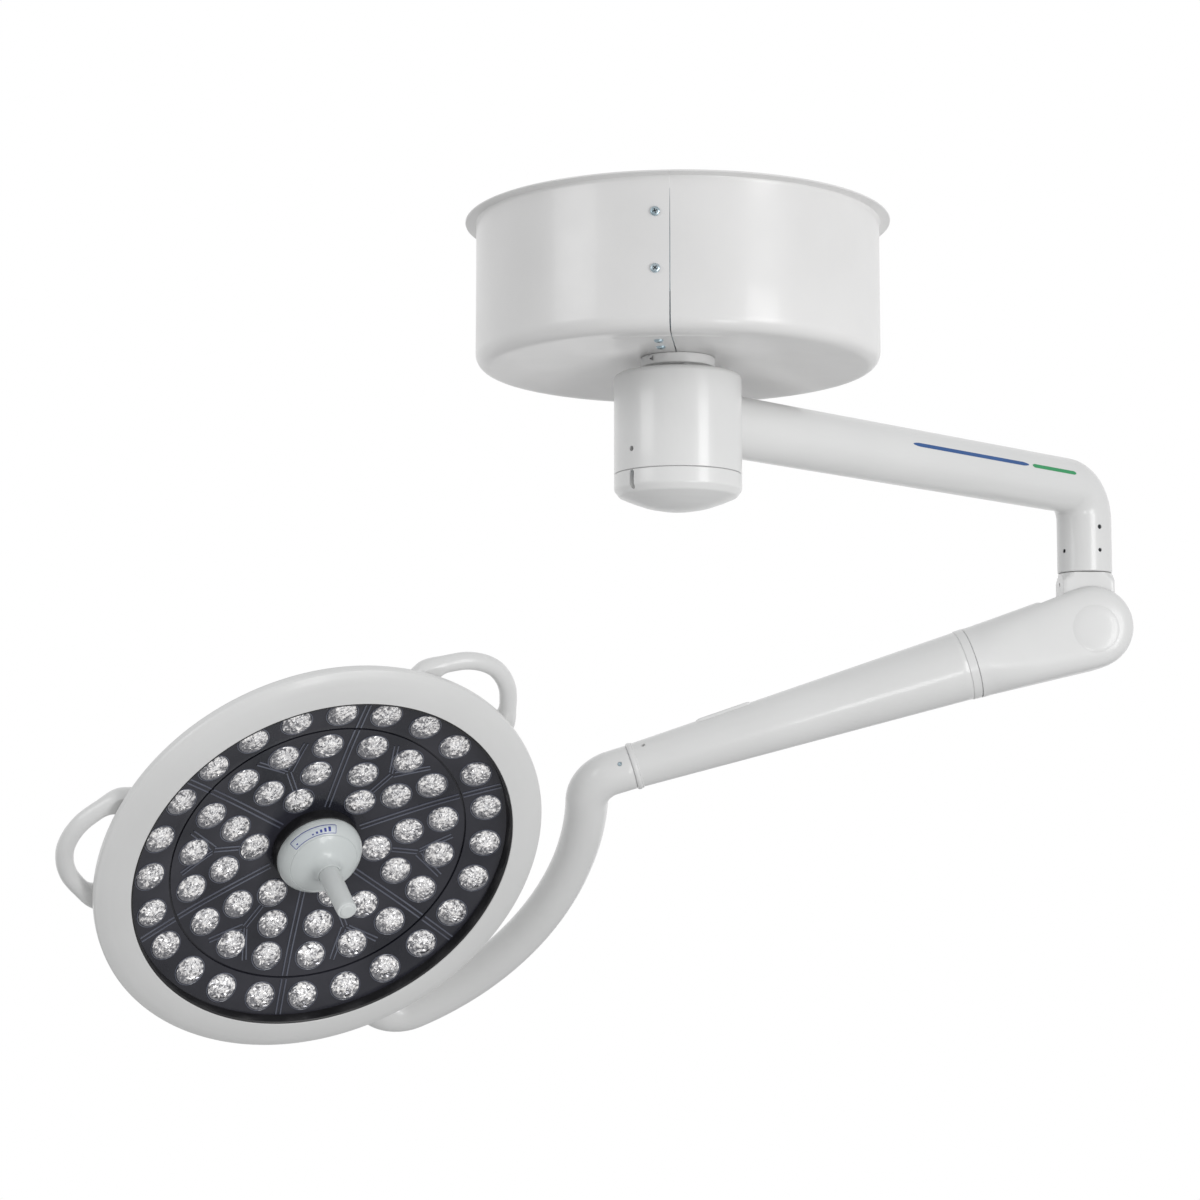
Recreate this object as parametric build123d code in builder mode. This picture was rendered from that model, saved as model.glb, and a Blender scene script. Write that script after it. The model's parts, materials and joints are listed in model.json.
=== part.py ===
from build123d import *

import os
from math import asin, atan2, cos, degrees, radians, sin, sqrt

# Ceiling-hung surgical light. Origin at the centre of the ceiling plate's top face, +Z up, +X along
# the horizontal arm. All sizes in millimetres.

# ceiling plate and stem
plate_r, plate_t = 160.0, 12.0
ceiling_pcd, ceiling_hole_r = 260.0, 6.5
stem_r, stem_bore_r = 38.0, 32.0
stem_flange_r, stem_flange_t, stem_pcd = 75.0, 10.0, 125.0
stem_bottom_z = -130.0
spindle_flange_r, spindle_flange_t, spindle_pcd = 59.0, 10.0, 98.0

# canopy
canopy_r, canopy_wall = 224.0, 2.5
lip_r, lip_z = 234.5, -21.0
canopy_edge_r, canopy_edge_z, canopy_hole_z = 16.0, -165.0, -152.0
canopy_hole_r = 34.0
seam_azimuth = -138.4
seam_gap_deg = 0.1
canopy_screw_deg = 3.9

# collar, neck, hub
collar_r, collar_z0, collar_z1 = 40.0, -160.0, -152.6
neck_r, seat_r, thread_r = 28.0, 25.0, 20.0
gate_r = 4.0
hub_r, hub_top_z, hub_seam_z, hub_side_z, hub_bottom_z = 70.75, -171.0, -283.0, -300.0, -324.0
bearing_r, bearing_t = 44.0, 18.0
running_gap = 0.05

# horizontal arm
arm_r, arm_wall, arm_z, arm_length = 35.0, 4.0, -218.0, 762.0
arm_start_x, elbow_r = 52.0, 42.0
drop_bottom_z = -329.0
bush_r = 20.0

# spring arm: origin at the tilt pivot, z along the arm, y up, x across
pivot_z = -400.0
fore_azimuth, fore_pitch, fore_length = 136.4, -17.0, 1029.1
block_l, block_w = 60.0, 66.0
cover_r, cover_half_w, cover_wall, cover_end, cover_end_r = 51.0, 46.0, 3.0, 157.0, 44.5
tube_r0, tube_r1, tube_wall, tube_end = 43.0, 28.5, 3.5, 612.0
pin_r, boss_r = 10.0, 28.0
anchor_offset, anchor_r = 26.0, 5.0
hook_clear_z = 52.0
rod_y = 8.0

# yoke: origin where the roll and tilt axes meet in plan, x towards the spring arm, y along the tilt axis
yoke_r, yoke_wall = 26.5, 4.0
yoke_roll, yoke_offset = 44.04, 55.5
yoke_arc_r, yoke_bend_r, yoke_hook_r = 360.0, 42.0, 45.0
yoke_spindle_r, tilt_spindle_r = 15.0, 15.0

# head: origin on the tilt axis, z out of the face
head_turn = -9.46
face_z, opening_r, rim_r, rim_back_z = 80.0, 245.7, 289.0, 56.0
housing_r, housing_wall, housing_back_z = 262.0, 3.0, -62.0
dish = [(57.0, 31.0), (81.6, 34.0), (119.6, 39.0), (164.0, 46.0), (218.7, 58.0), (242.7, 64.0)]
panel_t = 4.0
sink_drop = 7.0
lens_r, lens_front, lens_back = 19.2, 2.5, 6.0
dome_r, dome_base_z, dome_top_z, centre_ring_r = 53.0, 50.0, 80.0, 59.0
post_r, post_seat_z, post_tip_z = 13.5, 82.0, 168.0
handle_angles = (0.0, 120.0)
handle_r = 10.8
tilt_angle = -120.0
bracket_r, tilt_bush_r = 22.5, 18.5

Z_UP = Vector(0, 0, 1)


def heading(azimuth, pitch=0.0):
    return Vector(
        cos(radians(pitch)) * cos(radians(azimuth)),
        cos(radians(pitch)) * sin(radians(azimuth)),
        sin(radians(pitch)),
    )


def radial(azimuth):
    # plane through the vertical axis: x outwards, y up
    return Plane(origin=(0, 0, 0), x_dir=heading(azimuth), z_dir=heading(azimuth - 90))


def ring(polar_r, angle, z):
    return (polar_r * cos(radians(angle)), polar_r * sin(radians(angle)), z)


def save(shape, label, plane=Plane.XY):
    placed = shape.moved(plane.location)
    placed.label = label
    export_step(placed, "parts/" + label + ".step")


pivot = Vector(arm_length, 0, pivot_z)
along = heading(fore_azimuth, fore_pitch)
across = heading(fore_azimuth - 90)
fore_plane = Plane(origin=pivot, x_dir=across * -1, z_dir=along)
knuckle_plane = Plane(origin=pivot, x_dir=heading(fore_azimuth), z_dir=Z_UP)
sag = (Z_UP * -1 - along * (Z_UP * -1).dot(along)).normalized()
tilt_dir = sag * cos(radians(yoke_roll)) + across * sin(radians(yoke_roll))
yoke_origin = pivot + along * fore_length
yoke_plane = Plane(origin=yoke_origin, x_dir=along * -1, z_dir=(along * -1).cross(tilt_dir))
head_origin = yoke_origin - tilt_dir * yoke_offset
face_dir = along.cross(tilt_dir) * cos(radians(head_turn)) + along * sin(radians(head_turn))
grip_dir = tilt_dir.rotate(Axis((0, 0, 0), face_dir), -tilt_angle)
head_plane = Plane(origin=head_origin, x_dir=grip_dir, z_dir=face_dir)

os.makedirs("parts", exist_ok=True)

# ---------------------------------------------------------------- ceiling side

with BuildPart() as ceiling_plate:
    with BuildSketch(Plane.XY.offset(-plate_t)):
        Circle(plate_r)
        Circle(stem_bore_r, mode=Mode.SUBTRACT)
        with PolarLocations(ceiling_pcd / 2, 6):
            Circle(ceiling_hole_r, mode=Mode.SUBTRACT)
        with PolarLocations(stem_pcd / 2, 6, start_angle=30):
            Circle(5, mode=Mode.SUBTRACT)
    extrude(amount=plate_t)
    fillet(ceiling_plate.edges().filter_by(GeomType.CIRCLE).sort_by(SortBy.RADIUS)[-2:], 1.5)
save(ceiling_plate.part, "ceiling_plate")

with BuildPart() as mounting_stem:
    with BuildSketch(Plane.XY.offset(stem_bottom_z)):
        Circle(stem_r)
        Circle(stem_bore_r, mode=Mode.SUBTRACT)
    extrude(amount=-plate_t - stem_bottom_z)
    with BuildSketch(Plane.XY.offset(-plate_t - stem_flange_t)):
        Circle(stem_flange_r)
        Circle(stem_bore_r, mode=Mode.SUBTRACT)
        with PolarLocations(stem_pcd / 2, 6, start_angle=30):
            Circle(5, mode=Mode.SUBTRACT)
    extrude(amount=stem_flange_t)
    with BuildSketch(Plane.XY.offset(stem_bottom_z)):
        Circle(spindle_flange_r)
        Circle(stem_bore_r, mode=Mode.SUBTRACT)
        with PolarLocations(spindle_pcd / 2, 6):
            Circle(4, mode=Mode.SUBTRACT)
    extrude(amount=8)
save(mounting_stem.part, "mounting_stem")

stem_bolt_z = -plate_t - stem_flange_t
with BuildPart() as stem_bolts:
    with BuildSketch(Plane.XY.offset(stem_bolt_z)):
        with PolarLocations(stem_pcd / 2, 6, start_angle=30):
            Circle(5)
    extrude(amount=plate_t + stem_flange_t - 1)
    with BuildSketch(Plane.XY.offset(stem_bolt_z)):
        with PolarLocations(stem_pcd / 2, 6, start_angle=30):
            RegularPolygon(8.5, 6)
    extrude(amount=-7)
save(stem_bolts.part, "stem_bolts")

spindle_flange_z = stem_bottom_z - spindle_flange_t
with BuildPart() as spindle:
    with BuildSketch(radial(0)):
        with BuildLine():
            Polyline(
                (12, stem_bottom_z),
                (spindle_flange_r, stem_bottom_z),
                (spindle_flange_r, spindle_flange_z),
                (neck_r, spindle_flange_z),
                (neck_r, hub_top_z - 7),
                (seat_r, hub_top_z - 7),
                (seat_r, hub_seam_z + 4),
                (thread_r, hub_seam_z + 4),
                (thread_r, hub_side_z + 6),
                (12, hub_side_z + 6),
                close=True,
            )
        make_face()
    revolve(axis=Axis.Z)
    with BuildSketch(Plane.XY.offset(spindle_flange_z)):
        with PolarLocations(spindle_pcd / 2, 6):
            Circle(4)
    extrude(amount=spindle_flange_t, mode=Mode.SUBTRACT)
save(spindle.part, "spindle")

with BuildPart() as spindle_bolts:
    with BuildSketch(Plane.XY.offset(spindle_flange_z)):
        with PolarLocations(spindle_pcd / 2, 6):
            Circle(4)
    extrude(amount=18)
    with BuildSketch(Plane.XY.offset(spindle_flange_z)):
        with PolarLocations(spindle_pcd / 2, 6):
            RegularPolygon(6.9, 6)
    extrude(amount=-5)
    with BuildSketch(Plane.XY.offset(stem_bottom_z + 8)):
        with PolarLocations(spindle_pcd / 2, 6):
            RegularPolygon(6.9, 6)
    extrude(amount=6)
save(spindle_bolts.part, "spindle_bolts")

with BuildPart() as spindle_nut:
    with BuildSketch(Plane.XY.offset(hub_side_z + 8)):
        Circle(29)
        with PolarLocations(29, 4):
            Rectangle(6, 6, mode=Mode.SUBTRACT)
        Circle(thread_r, mode=Mode.SUBTRACT)
    extrude(amount=hub_seam_z + 4 - hub_side_z - 8)
save(spindle_nut.part, "spindle_nut")

with BuildPart() as collar_ring:
    with BuildSketch(Plane.XY.offset(collar_z0)):
        Circle(collar_r)
        Circle(neck_r, mode=Mode.SUBTRACT)
    extrude(amount=collar_z1 - collar_z0)
    fillet(collar_ring.edges().sort_by(Axis.Z)[0:2].sort_by(SortBy.RADIUS)[-1], 1.5)
    with BuildSketch(radial(seam_azimuth - 45).offset(-3)):
        with Locations((collar_r, collar_z0)):
            RegularPolygon(5, 3, rotation=90)
    extrude(amount=6, mode=Mode.SUBTRACT)
save(collar_ring.part, "collar_ring")

# ---------------------------------------------------------------- canopy


def canopy_profile(inset):
    # outline of one skin, from the lip at the ceiling to the hole round the neck
    body_x = canopy_r - inset
    low_z = canopy_edge_z + inset
    corner = canopy_edge_r - inset
    diag = corner * (1 - cos(radians(45)))
    lip = Polyline((lip_r - inset, -1), (lip_r - inset, -4))
    flare = ThreePointArc(lip @ 1, (lip_r - 4.2 - inset, -13 - inset * 0.3), (body_x, lip_z - inset * 0.4))
    side = Line(flare @ 1, (body_x, low_z + corner))
    edge = ThreePointArc(side @ 1, (body_x - diag, low_z + diag), (body_x - corner, low_z))
    return edge


def canopy_half(start):
    with BuildPart() as half:
        with BuildSketch(radial(start + seam_gap_deg)):
            with BuildLine():
                outer = canopy_profile(0)
                Line(outer @ 1, (canopy_hole_r, canopy_hole_z))
                Line((canopy_hole_r, canopy_hole_z), (canopy_hole_r, canopy_hole_z + canopy_wall))
                inner = canopy_profile(canopy_wall)
                Line(inner @ 1, (canopy_hole_r, canopy_hole_z + canopy_wall))
                Line((lip_r, -1), (lip_r - canopy_wall, -1))
            make_face()
        revolve(axis=Axis.Z, revolution_arc=180 - 2 * seam_gap_deg)
    return half


def under_z(r):
    # height of the canopy's underside at radius r
    share = (r - canopy_hole_r) / (canopy_r - canopy_edge_r - canopy_hole_r)
    return canopy_hole_z + share * (canopy_edge_z - canopy_hole_z)


screw_spots = []
for face in (0, 180):
    azimuth = seam_azimuth + face - canopy_screw_deg if face == 0 else seam_azimuth + face + canopy_screw_deg
    for z in (-41.0, -101.0):
        screw_spots.append(Plane(origin=ring(canopy_r, azimuth, z), x_dir=Z_UP, z_dir=heading(azimuth)))
    for r in (90.0, 144.0):
        turn = degrees(asin(15 / r))
        spot = seam_azimuth + face - (turn if face == 0 else -turn)
        screw_spots.append(Plane(origin=ring(r, spot, under_z(r) + 0.2), x_dir=heading(spot), z_dir=(0, 0, -1)))

with BuildPart() as canopy_screws:
    for spot in screw_spots:
        with BuildSketch(spot):
            Circle(4.2)
        extrude(amount=2.2)
        with BuildSketch(spot.offset(2.2)):
            Rectangle(4.4, 0.9)
            Rectangle(0.9, 4.4)
        extrude(amount=-0.9, mode=Mode.SUBTRACT)
        with BuildSketch(spot.offset(-8)):
            Circle(2.1)
        extrude(amount=8)
save(canopy_screws.part, "canopy_screws")

screw_envelope = []
for spot in screw_spots:
    screw_envelope.append(spot.location * Pos(0, 0, -5) * Cylinder(2.1, 10))
    screw_envelope.append(spot.location * Pos(0, 0, 1.6) * Cylinder(4.2, 3.2))

left_half = canopy_half(seam_azimuth + 180)
right_half = canopy_half(seam_azimuth)
save(left_half.part - screw_envelope, "canopy_left_shell")
save(right_half.part - screw_envelope, "canopy_right_shell")

strap_half_deg = 8.0
with BuildPart() as canopy_straps:
    for face in (0, 180):
        start = seam_azimuth + face - strap_half_deg
        with BuildSketch(radial(start)):
            with Locations((canopy_r - canopy_wall - 1.0, -75)):
                Rectangle(2.0, 100)
        revolve(axis=Axis.Z, revolution_arc=2 * strap_half_deg)
        with BuildSketch(radial(seam_azimuth + face - 12)):
            with BuildLine():
                Polyline(
                    (75, under_z(75) + canopy_wall),
                    (160, under_z(160) + canopy_wall),
                    (160, under_z(160) + canopy_wall + 2),
                    (75, under_z(75) + canopy_wall + 2),
                    close=True,
                )
            make_face()
        revolve(axis=Axis.Z, revolution_arc=24)
save(canopy_straps.part - screw_envelope - left_half.part - right_half.part, "canopy_straps")

box_w, box_d, box_h, box_at = 90.0, 60.0, 38.0, 117.0
with BuildPart() as power_supply:
    with BuildSketch(Plane.XY.offset(-plate_t - box_h)):
        with Locations(ring(box_at, -150, 0)):
            Rectangle(box_d, box_w, rotation=-150)
    extrude(amount=box_h)
    fillet(power_supply.edges().filter_by(Axis.Z), 3)
save(power_supply.part, "power_supply")

with BuildPart() as terminal_block:
    with BuildSketch(Plane.XY.offset(-plate_t - 24)):
        with Locations(ring(box_at, 30, 0)):
            Rectangle(28, 78, rotation=30)
    extrude(amount=24)
    with BuildSketch(Plane.XY.offset(-plate_t - 24)):
        for step in range(-3, 4):
            with Locations(ring(sqrt(box_at**2 + (step * 11) ** 2), 30 + degrees(atan2(step * 11, box_at)), 0)):
                Circle(3)
    extrude(amount=5, mode=Mode.SUBTRACT)
save(terminal_block.part, "terminal_block")

with BuildPart() as slip_ring_core:
    with BuildSketch(Plane.XY.offset(hub_side_z - 9)):
        Circle(9)
    extrude(amount=30)
    with BuildSketch(Plane.XY.offset(hub_side_z - 6)):
        Circle(16)
    extrude(amount=12)
save(slip_ring_core.part, "slip_ring_core")

# ---------------------------------------------------------------- hub and horizontal arm

set_screw_spots = []
for azimuth, z in ((250.0, -272.0), (250.0, -302.0), (168.0, -302.0)):
    spot_origin = Vector(arm_length, 0, z) + heading(azimuth) * arm_r
    set_screw_spots.append(Plane(origin=spot_origin, x_dir=Z_UP, z_dir=heading(azimuth)))
hub_screw_spot = Plane(origin=ring(hub_r, 178, -261), x_dir=Z_UP, z_dir=heading(178))
cap_screw_spot = Plane(origin=ring(hub_r, 178, -290), x_dir=Z_UP, z_dir=heading(178))

with BuildPart() as hub_housing:
    with BuildSketch(radial(0)):
        with BuildLine():
            Polyline(
                (neck_r + 1.0, hub_top_z),
                (hub_r, hub_top_z),
                (hub_r, hub_seam_z),
                (bearing_r, hub_seam_z),
                (bearing_r, hub_top_z - 12),
                (neck_r + 1.0, hub_top_z - 12),
                close=True,
            )
        make_face()
    revolve(axis=Axis.Z)
    fillet(hub_housing.edges().filter_by(GeomType.CIRCLE).group_by(Axis.Z)[-1].sort_by(SortBy.RADIUS)[-1], 7)
    with BuildSketch(Plane.YZ.offset(0)):
        with Locations((0, arm_z)):
            Circle(arm_r)
    extrude(amount=hub_r + 5, mode=Mode.SUBTRACT)
    with BuildSketch(hub_screw_spot):
        Circle(3)
    extrude(amount=-16, mode=Mode.SUBTRACT)
save(hub_housing.part, "hub_housing")


with BuildPart() as hub_bearings:
    for z0 in (hub_top_z - 12 - bearing_t, hub_seam_z + 6):
        with BuildSketch(Plane.XY.offset(z0)):
            Circle(bearing_r)
            Circle(seat_r + running_gap, mode=Mode.SUBTRACT)
        extrude(amount=bearing_t)
        for groove_z in (z0, z0 + bearing_t - 1.5):
            with BuildSketch(Plane.XY.offset(groove_z)):
                Circle(38)
                Circle(31, mode=Mode.SUBTRACT)
            extrude(amount=1.5, mode=Mode.SUBTRACT)
save(hub_bearings.part, "hub_bearings")

with BuildPart() as hub_cap:
    with BuildSketch(radial(0)):
        with BuildLine():
            top = Line((0, hub_bottom_z + 9), (42, hub_bottom_z + 9))
            well = Line(top @ 1, (42, hub_seam_z))
            rim = Line(well @ 1, (hub_r, hub_seam_z))
            side = Line(rim @ 1, (hub_r, hub_side_z))
            edge = ThreePointArc(side @ 1, (hub_r - 1.6, hub_side_z - 4.2), (hub_r - 6, hub_side_z - 7))
            dome = ThreePointArc(edge @ 1, (36, hub_bottom_z + 4.4), (gate_r, hub_bottom_z))
            Polyline(dome @ 1, (0, hub_bottom_z), top @ 0)
        make_face()
    revolve(axis=Axis.Z)
    with BuildSketch(cap_screw_spot):
        with Locations((-5, 0)):
            SlotOverall(20, 7)
    extrude(amount=-9, mode=Mode.SUBTRACT)
save(hub_cap.part, "hub_cap")

with BuildPart() as cap_screw:
    with BuildSketch(cap_screw_spot.offset(-9)):
        Circle(3)
    extrude(amount=3)
    with BuildSketch(cap_screw_spot.offset(-6)):
        Rectangle(1, 4)
    extrude(amount=-1.2, mode=Mode.SUBTRACT)
save(cap_screw.part, "cap_screw")

with BuildPart() as slip_ring_cup:
    with BuildSketch(Plane.XY.offset(hub_bottom_z + 9)):
        Circle(20)
    extrude(amount=19.5)
    with BuildSketch(Plane.XY.offset(hub_bottom_z + 12)):
        Circle(16.6)
    extrude(amount=20, mode=Mode.SUBTRACT)
save(slip_ring_cup.part, "slip_ring_cup")

with BuildPart() as horizontal_arm:
    with BuildLine() as arm_path:
        run = Line((arm_start_x, 0, arm_z), (arm_length - elbow_r, 0, arm_z))
        bend = ThreePointArc(
            run @ 1,
            (arm_length - elbow_r * (1 - sin(radians(45))), 0, arm_z - elbow_r * (1 - cos(radians(45)))),
            (arm_length, 0, arm_z - elbow_r),
        )
        Line(bend @ 1, (arm_length, 0, drop_bottom_z))
    with BuildSketch(Plane(origin=(arm_start_x, 0, arm_z), x_dir=(0, 1, 0), z_dir=(1, 0, 0))):
        Circle(arm_r)
        Circle(arm_r - arm_wall, mode=Mode.SUBTRACT)
    sweep(path=arm_path.line)
    for spot in set_screw_spots:
        with BuildSketch(spot.offset(2)):
            Circle(3)
        extrude(amount=-8, mode=Mode.SUBTRACT)
save(horizontal_arm.part, "horizontal_arm")

with BuildPart() as arm_set_screws:
    for spot in (*set_screw_spots, hub_screw_spot):
        with BuildSketch(spot.offset(-3.6)):
            Circle(3)
        extrude(amount=2.8)
        with BuildSketch(spot.offset(-0.8)):
            RegularPolygon(1.5, 6)
        extrude(amount=-1.6, mode=Mode.SUBTRACT)
save(arm_set_screws.part, "arm_set_screws")

with BuildPart() as drop_bushes:
    for z0 in (-286.0, drop_bottom_z):
        with BuildSketch(Plane.XY.offset(z0)):
            with Locations((arm_length, 0)):
                Circle(arm_r - arm_wall)
                Circle(bush_r + running_gap, mode=Mode.SUBTRACT)
        extrude(amount=16)
save(drop_bushes.part, "drop_bushes")

# ---------------------------------------------------------------- knuckle (origin at the pivot)

knuckle_top = drop_bottom_z - 1.0 - pivot_z
spindle_top = -266.0 - pivot_z
with BuildPart() as knuckle:
    with BuildSketch(Plane.XY.offset(knuckle_top - 5)):
        Circle(arm_r)
    extrude(amount=5)
    with BuildSketch(Plane.XY.offset(knuckle_top)):
        Circle(bush_r)
    extrude(amount=spindle_top - knuckle_top)
    with BuildSketch(Plane.XZ):
        with BuildLine():
            left_side = Line((-block_l / 2, knuckle_top - 5), (-block_l / 2, 0))
            foot = ThreePointArc(left_side @ 1, (0, -block_l / 2), (block_l / 2, 0))
            right_side = Line(foot @ 1, (block_l / 2, knuckle_top - 5))
            Line(right_side @ 1, left_side @ 0)
        make_face()
    extrude(amount=block_w / 2, both=True)
    chamfer(knuckle.edges().filter_by(Axis.Z).filter_by_position(Axis.Z, 20, 50), 6)
    with BuildSketch(Plane.XZ):
        Circle(pin_r)
        with Locations((0, anchor_offset)):
            Circle(anchor_r)
    extrude(amount=block_w / 2, both=True, mode=Mode.SUBTRACT)
    with BuildSketch(Plane.XY.offset(-block_l)):
        Rectangle(block_l + 2, 20)
    extrude(amount=block_l + hook_clear_z, mode=Mode.SUBTRACT)
    with BuildSketch(Plane.YZ.offset(-block_l / 2)):
        with Locations((0, knuckle_top - 14)):
            Circle(3)
    extrude(amount=10, mode=Mode.SUBTRACT)
save(knuckle.part, "knuckle", knuckle_plane)

with BuildPart() as knuckle_brake_screw:
    with BuildSketch(Plane.YZ.offset(-block_l / 2 + 1)):
        with Locations((0, knuckle_top - 14)):
            Circle(3)
    extrude(amount=9)
save(knuckle_brake_screw.part, "knuckle_brake_screw", knuckle_plane)

with BuildPart() as spindle_clip:
    with BuildSketch(Plane.XY.offset(spindle_top - 3)):
        Circle(bush_r + 5)
        Circle(bush_r, mode=Mode.SUBTRACT)
        with Locations((bush_r + 3, 0)):
            Rectangle(12, 9, mode=Mode.SUBTRACT)
    extrude(amount=2)
save(spindle_clip.part, "spindle_clip", knuckle_plane)

with BuildPart() as pivot_pin:
    with BuildSketch(Plane.XZ):
        Circle(pin_r)
    extrude(amount=cover_half_w - 6, both=True)
    chamfer(pivot_pin.edges().filter_by(GeomType.CIRCLE), 1)
save(pivot_pin.part, "pivot_pin", knuckle_plane)

with BuildPart() as anchor_pin:
    with BuildSketch(Plane.XZ):
        with Locations((0, anchor_offset)):
            Circle(anchor_r)
    extrude(amount=block_w / 2 - 2, both=True)
save(anchor_pin.part, "anchor_pin", knuckle_plane)

# ---------------------------------------------------------------- spring arm

cheek_in, cheek_out, cheek_r = 34.0, 40.0, 38.0


def tube_radius(s):
    return tube_r0 + (tube_r1 - tube_r0) * (s - cover_end) / (tube_end - cover_end)


with BuildPart() as arm_frame:
    for side in (cheek_in, -cheek_out):
        with BuildSketch(Plane.YZ.offset(side)):
            Circle(cheek_r)
            with Locations((0, 36)):
                Rectangle(52, 72)
            Circle(pin_r + running_gap, mode=Mode.SUBTRACT)
        extrude(amount=cheek_out - cheek_in)
    with BuildSketch(Plane.XY.offset(60)):
        Rectangle(2 * cheek_out, 52)
    extrude(amount=14)
    with BuildSketch(Plane.XY.offset(74)):
        Circle(24)
    extrude(amount=40)
    with BuildSketch(Plane.XY.offset(114)):
        Circle(tube_r0 - tube_wall)
    extrude(amount=36)
    with BuildSketch(Plane.XY.offset(60)):
        with Locations((0, rod_y)):
            Circle(6.5)
    extrude(amount=100, mode=Mode.SUBTRACT)
save(arm_frame.part, "arm_frame", fore_plane)

with BuildPart() as cover_outer:
    with BuildSketch(Plane.YZ):
        Circle(cover_r)
        with Locations((0, 30)):
            Rectangle(2 * cover_r, 60)
    extrude(amount=cover_half_w, both=True)
    fillet(
        cover_outer.faces().filter_by(Axis.X).edges().filter_by_position(Axis.Z, -60, 59.9, (True, False)), 22
    )
    with BuildSketch(Plane.XY.offset(60)):
        RectangleRounded(2 * cover_half_w, 2 * cover_r, 22)
    with BuildSketch(Plane.XY.offset(150)):
        Circle(cover_end_r)
    loft(ruled=True)
    with BuildSketch(Plane.XY.offset(150)):
        Circle(cover_end_r)
    extrude(amount=cover_end - 150)
with BuildPart() as cover_inner:
    with BuildSketch(Plane.YZ):
        Circle(cover_r - cover_wall)
        with Locations((0, 30)):
            Rectangle(2 * (cover_r - cover_wall), 60)
    extrude(amount=cover_half_w - cover_wall, both=True)
    fillet(
        cover_inner.faces().filter_by(Axis.X).edges().filter_by_position(Axis.Z, -60, 59.9, (True, False)), 19
    )
    with BuildSketch(Plane.XY.offset(60)):
        RectangleRounded(2 * (cover_half_w - cover_wall), 2 * (cover_r - cover_wall), 19)
    with BuildSketch(Plane.XY.offset(150)):
        Circle(tube_r0)
    loft(ruled=True)
    with BuildSketch(Plane.XY.offset(150)):
        Circle(tube_r0)
    extrude(amount=20)
slot_w = 72.0
slot_points = [(0, 0)]
for angle in (40, 75, 110, 145, 180):
    slot_points.append((90 * sin(radians(angle)), 90 * cos(radians(angle))))
with BuildPart() as knuckle_slot:
    with BuildSketch(Plane.YZ):
        with BuildLine():
            Polyline(*slot_points, close=True)
        make_face()
    extrude(amount=slot_w / 2, both=True)
rear_cover_part = cover_outer.part - cover_inner.part - knuckle_slot.part
save(rear_cover_part, "rear_cover", fore_plane)

with BuildPart() as pivot_caps:
    for side in (1, -1):
        with BuildSketch(Plane.YZ.offset(side * cover_half_w)):
            Circle(boss_r)
        extrude(amount=side * 3)
    fillet(pivot_caps.faces().filter_by(Axis.X).sort_by(Axis.X)[0].edges(), 1.5)
    fillet(pivot_caps.faces().filter_by(Axis.X).sort_by(Axis.X)[-1].edges(), 1.5)
save(pivot_caps.part, "pivot_caps", fore_plane)

with BuildPart() as spring_arm_tube:
    with BuildSketch(Plane.XZ):
        with BuildLine():
            Polyline(
                (tube_r0, 114),
                (tube_r0, cover_end),
                (tube_r1, tube_end),
                (25, tube_end),
                (25, 540),
                (tube_radius(540) - tube_wall, 540),
                (tube_r0 - tube_wall, 150),
                (tube_r0 - tube_wall, 114),
                close=True,
            )
        make_face()
    revolve(axis=Axis.Z)
    with BuildSketch(Plane.XZ.offset(-10)):
        with Locations((0, 591)):
            Circle(3)
    extrude(amount=-30, mode=Mode.SUBTRACT)
save(spring_arm_tube.part, "spring_arm_tube", fore_plane)

with BuildPart() as bead_ring:
    with BuildSketch(Plane.XZ):
        with BuildLine():
            base = Line((tube_radius(606) + 0.0, 606), (tube_r1, tube_end))
            lip = Line(base @ 1, (30.5, tube_end))
            bulge = ThreePointArc(lip @ 1, (32.6, 609), (30.8, 606))
            Line(bulge @ 1, base @ 0)
        make_face()
    revolve(axis=Axis.Z)
save(bead_ring.part, "bead_ring", fore_plane)

plate_s0, plate_s1, plate_w = 445.0, 517.0, 30.0
with BuildPart() as tube_envelope:
    with BuildSketch(Plane.XZ):
        with BuildLine():
            Polyline((0, cover_end), (tube_r0, cover_end), (tube_r1, tube_end), (0, tube_end), close=True)
        make_face()
    revolve(axis=Axis.Z)
with BuildPart() as adjuster_cover:
    with BuildSketch(Plane.YZ):
        with BuildLine():
            Polyline(
                (20, plate_s0),
                (tube_radius(plate_s0) + 2.0, plate_s0),
                (tube_radius(plate_s1) + 2.0, plate_s1),
                (20, plate_s1),
                close=True,
            )
        make_face()
    extrude(amount=plate_w / 2, both=True)
    fillet(adjuster_cover.edges().filter_by(Axis.Y), 5)
save(adjuster_cover.part - tube_envelope.part, "adjuster_cover", fore_plane)

rod_start, rod_end = 20.0, 440.0
with BuildPart() as spring_rod:
    with BuildSketch(Plane.XY.offset(rod_start)):
        with Locations((0, rod_y)):
            Circle(6)
    extrude(amount=rod_end - rod_start)
    with BuildSketch(Plane.YZ):
        with BuildLine():
            Polyline(
                (rod_y - 6, 46),
                (rod_y - 6, 16),
                (32.5, 16),
                (32.5, -27.5),
                (13, -27.5),
                (13, -32),
                (38, -32),
                (38, 24),
                (rod_y + 6, 46),
                close=True,
            )
        make_face()
    extrude(amount=4, both=True)
save(spring_rod.part, "spring_rod", fore_plane)

spring_s0, spring_s1, coil_r, wire_r = 158.2, 396.0, 16.0, 3.0
seat_t, nut_t = 5.0, 8.0
with BuildPart() as spring_seats:
    for s in (spring_s0 - wire_r - 5.2, spring_s1 + wire_r + 0.2):
        with BuildSketch(Plane.XY.offset(s)):
            with Locations((0, rod_y)):
                Circle(22)
                Circle(6.6, mode=Mode.SUBTRACT)
        extrude(amount=seat_t)
save(spring_seats.part, "spring_seats", fore_plane)

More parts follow.
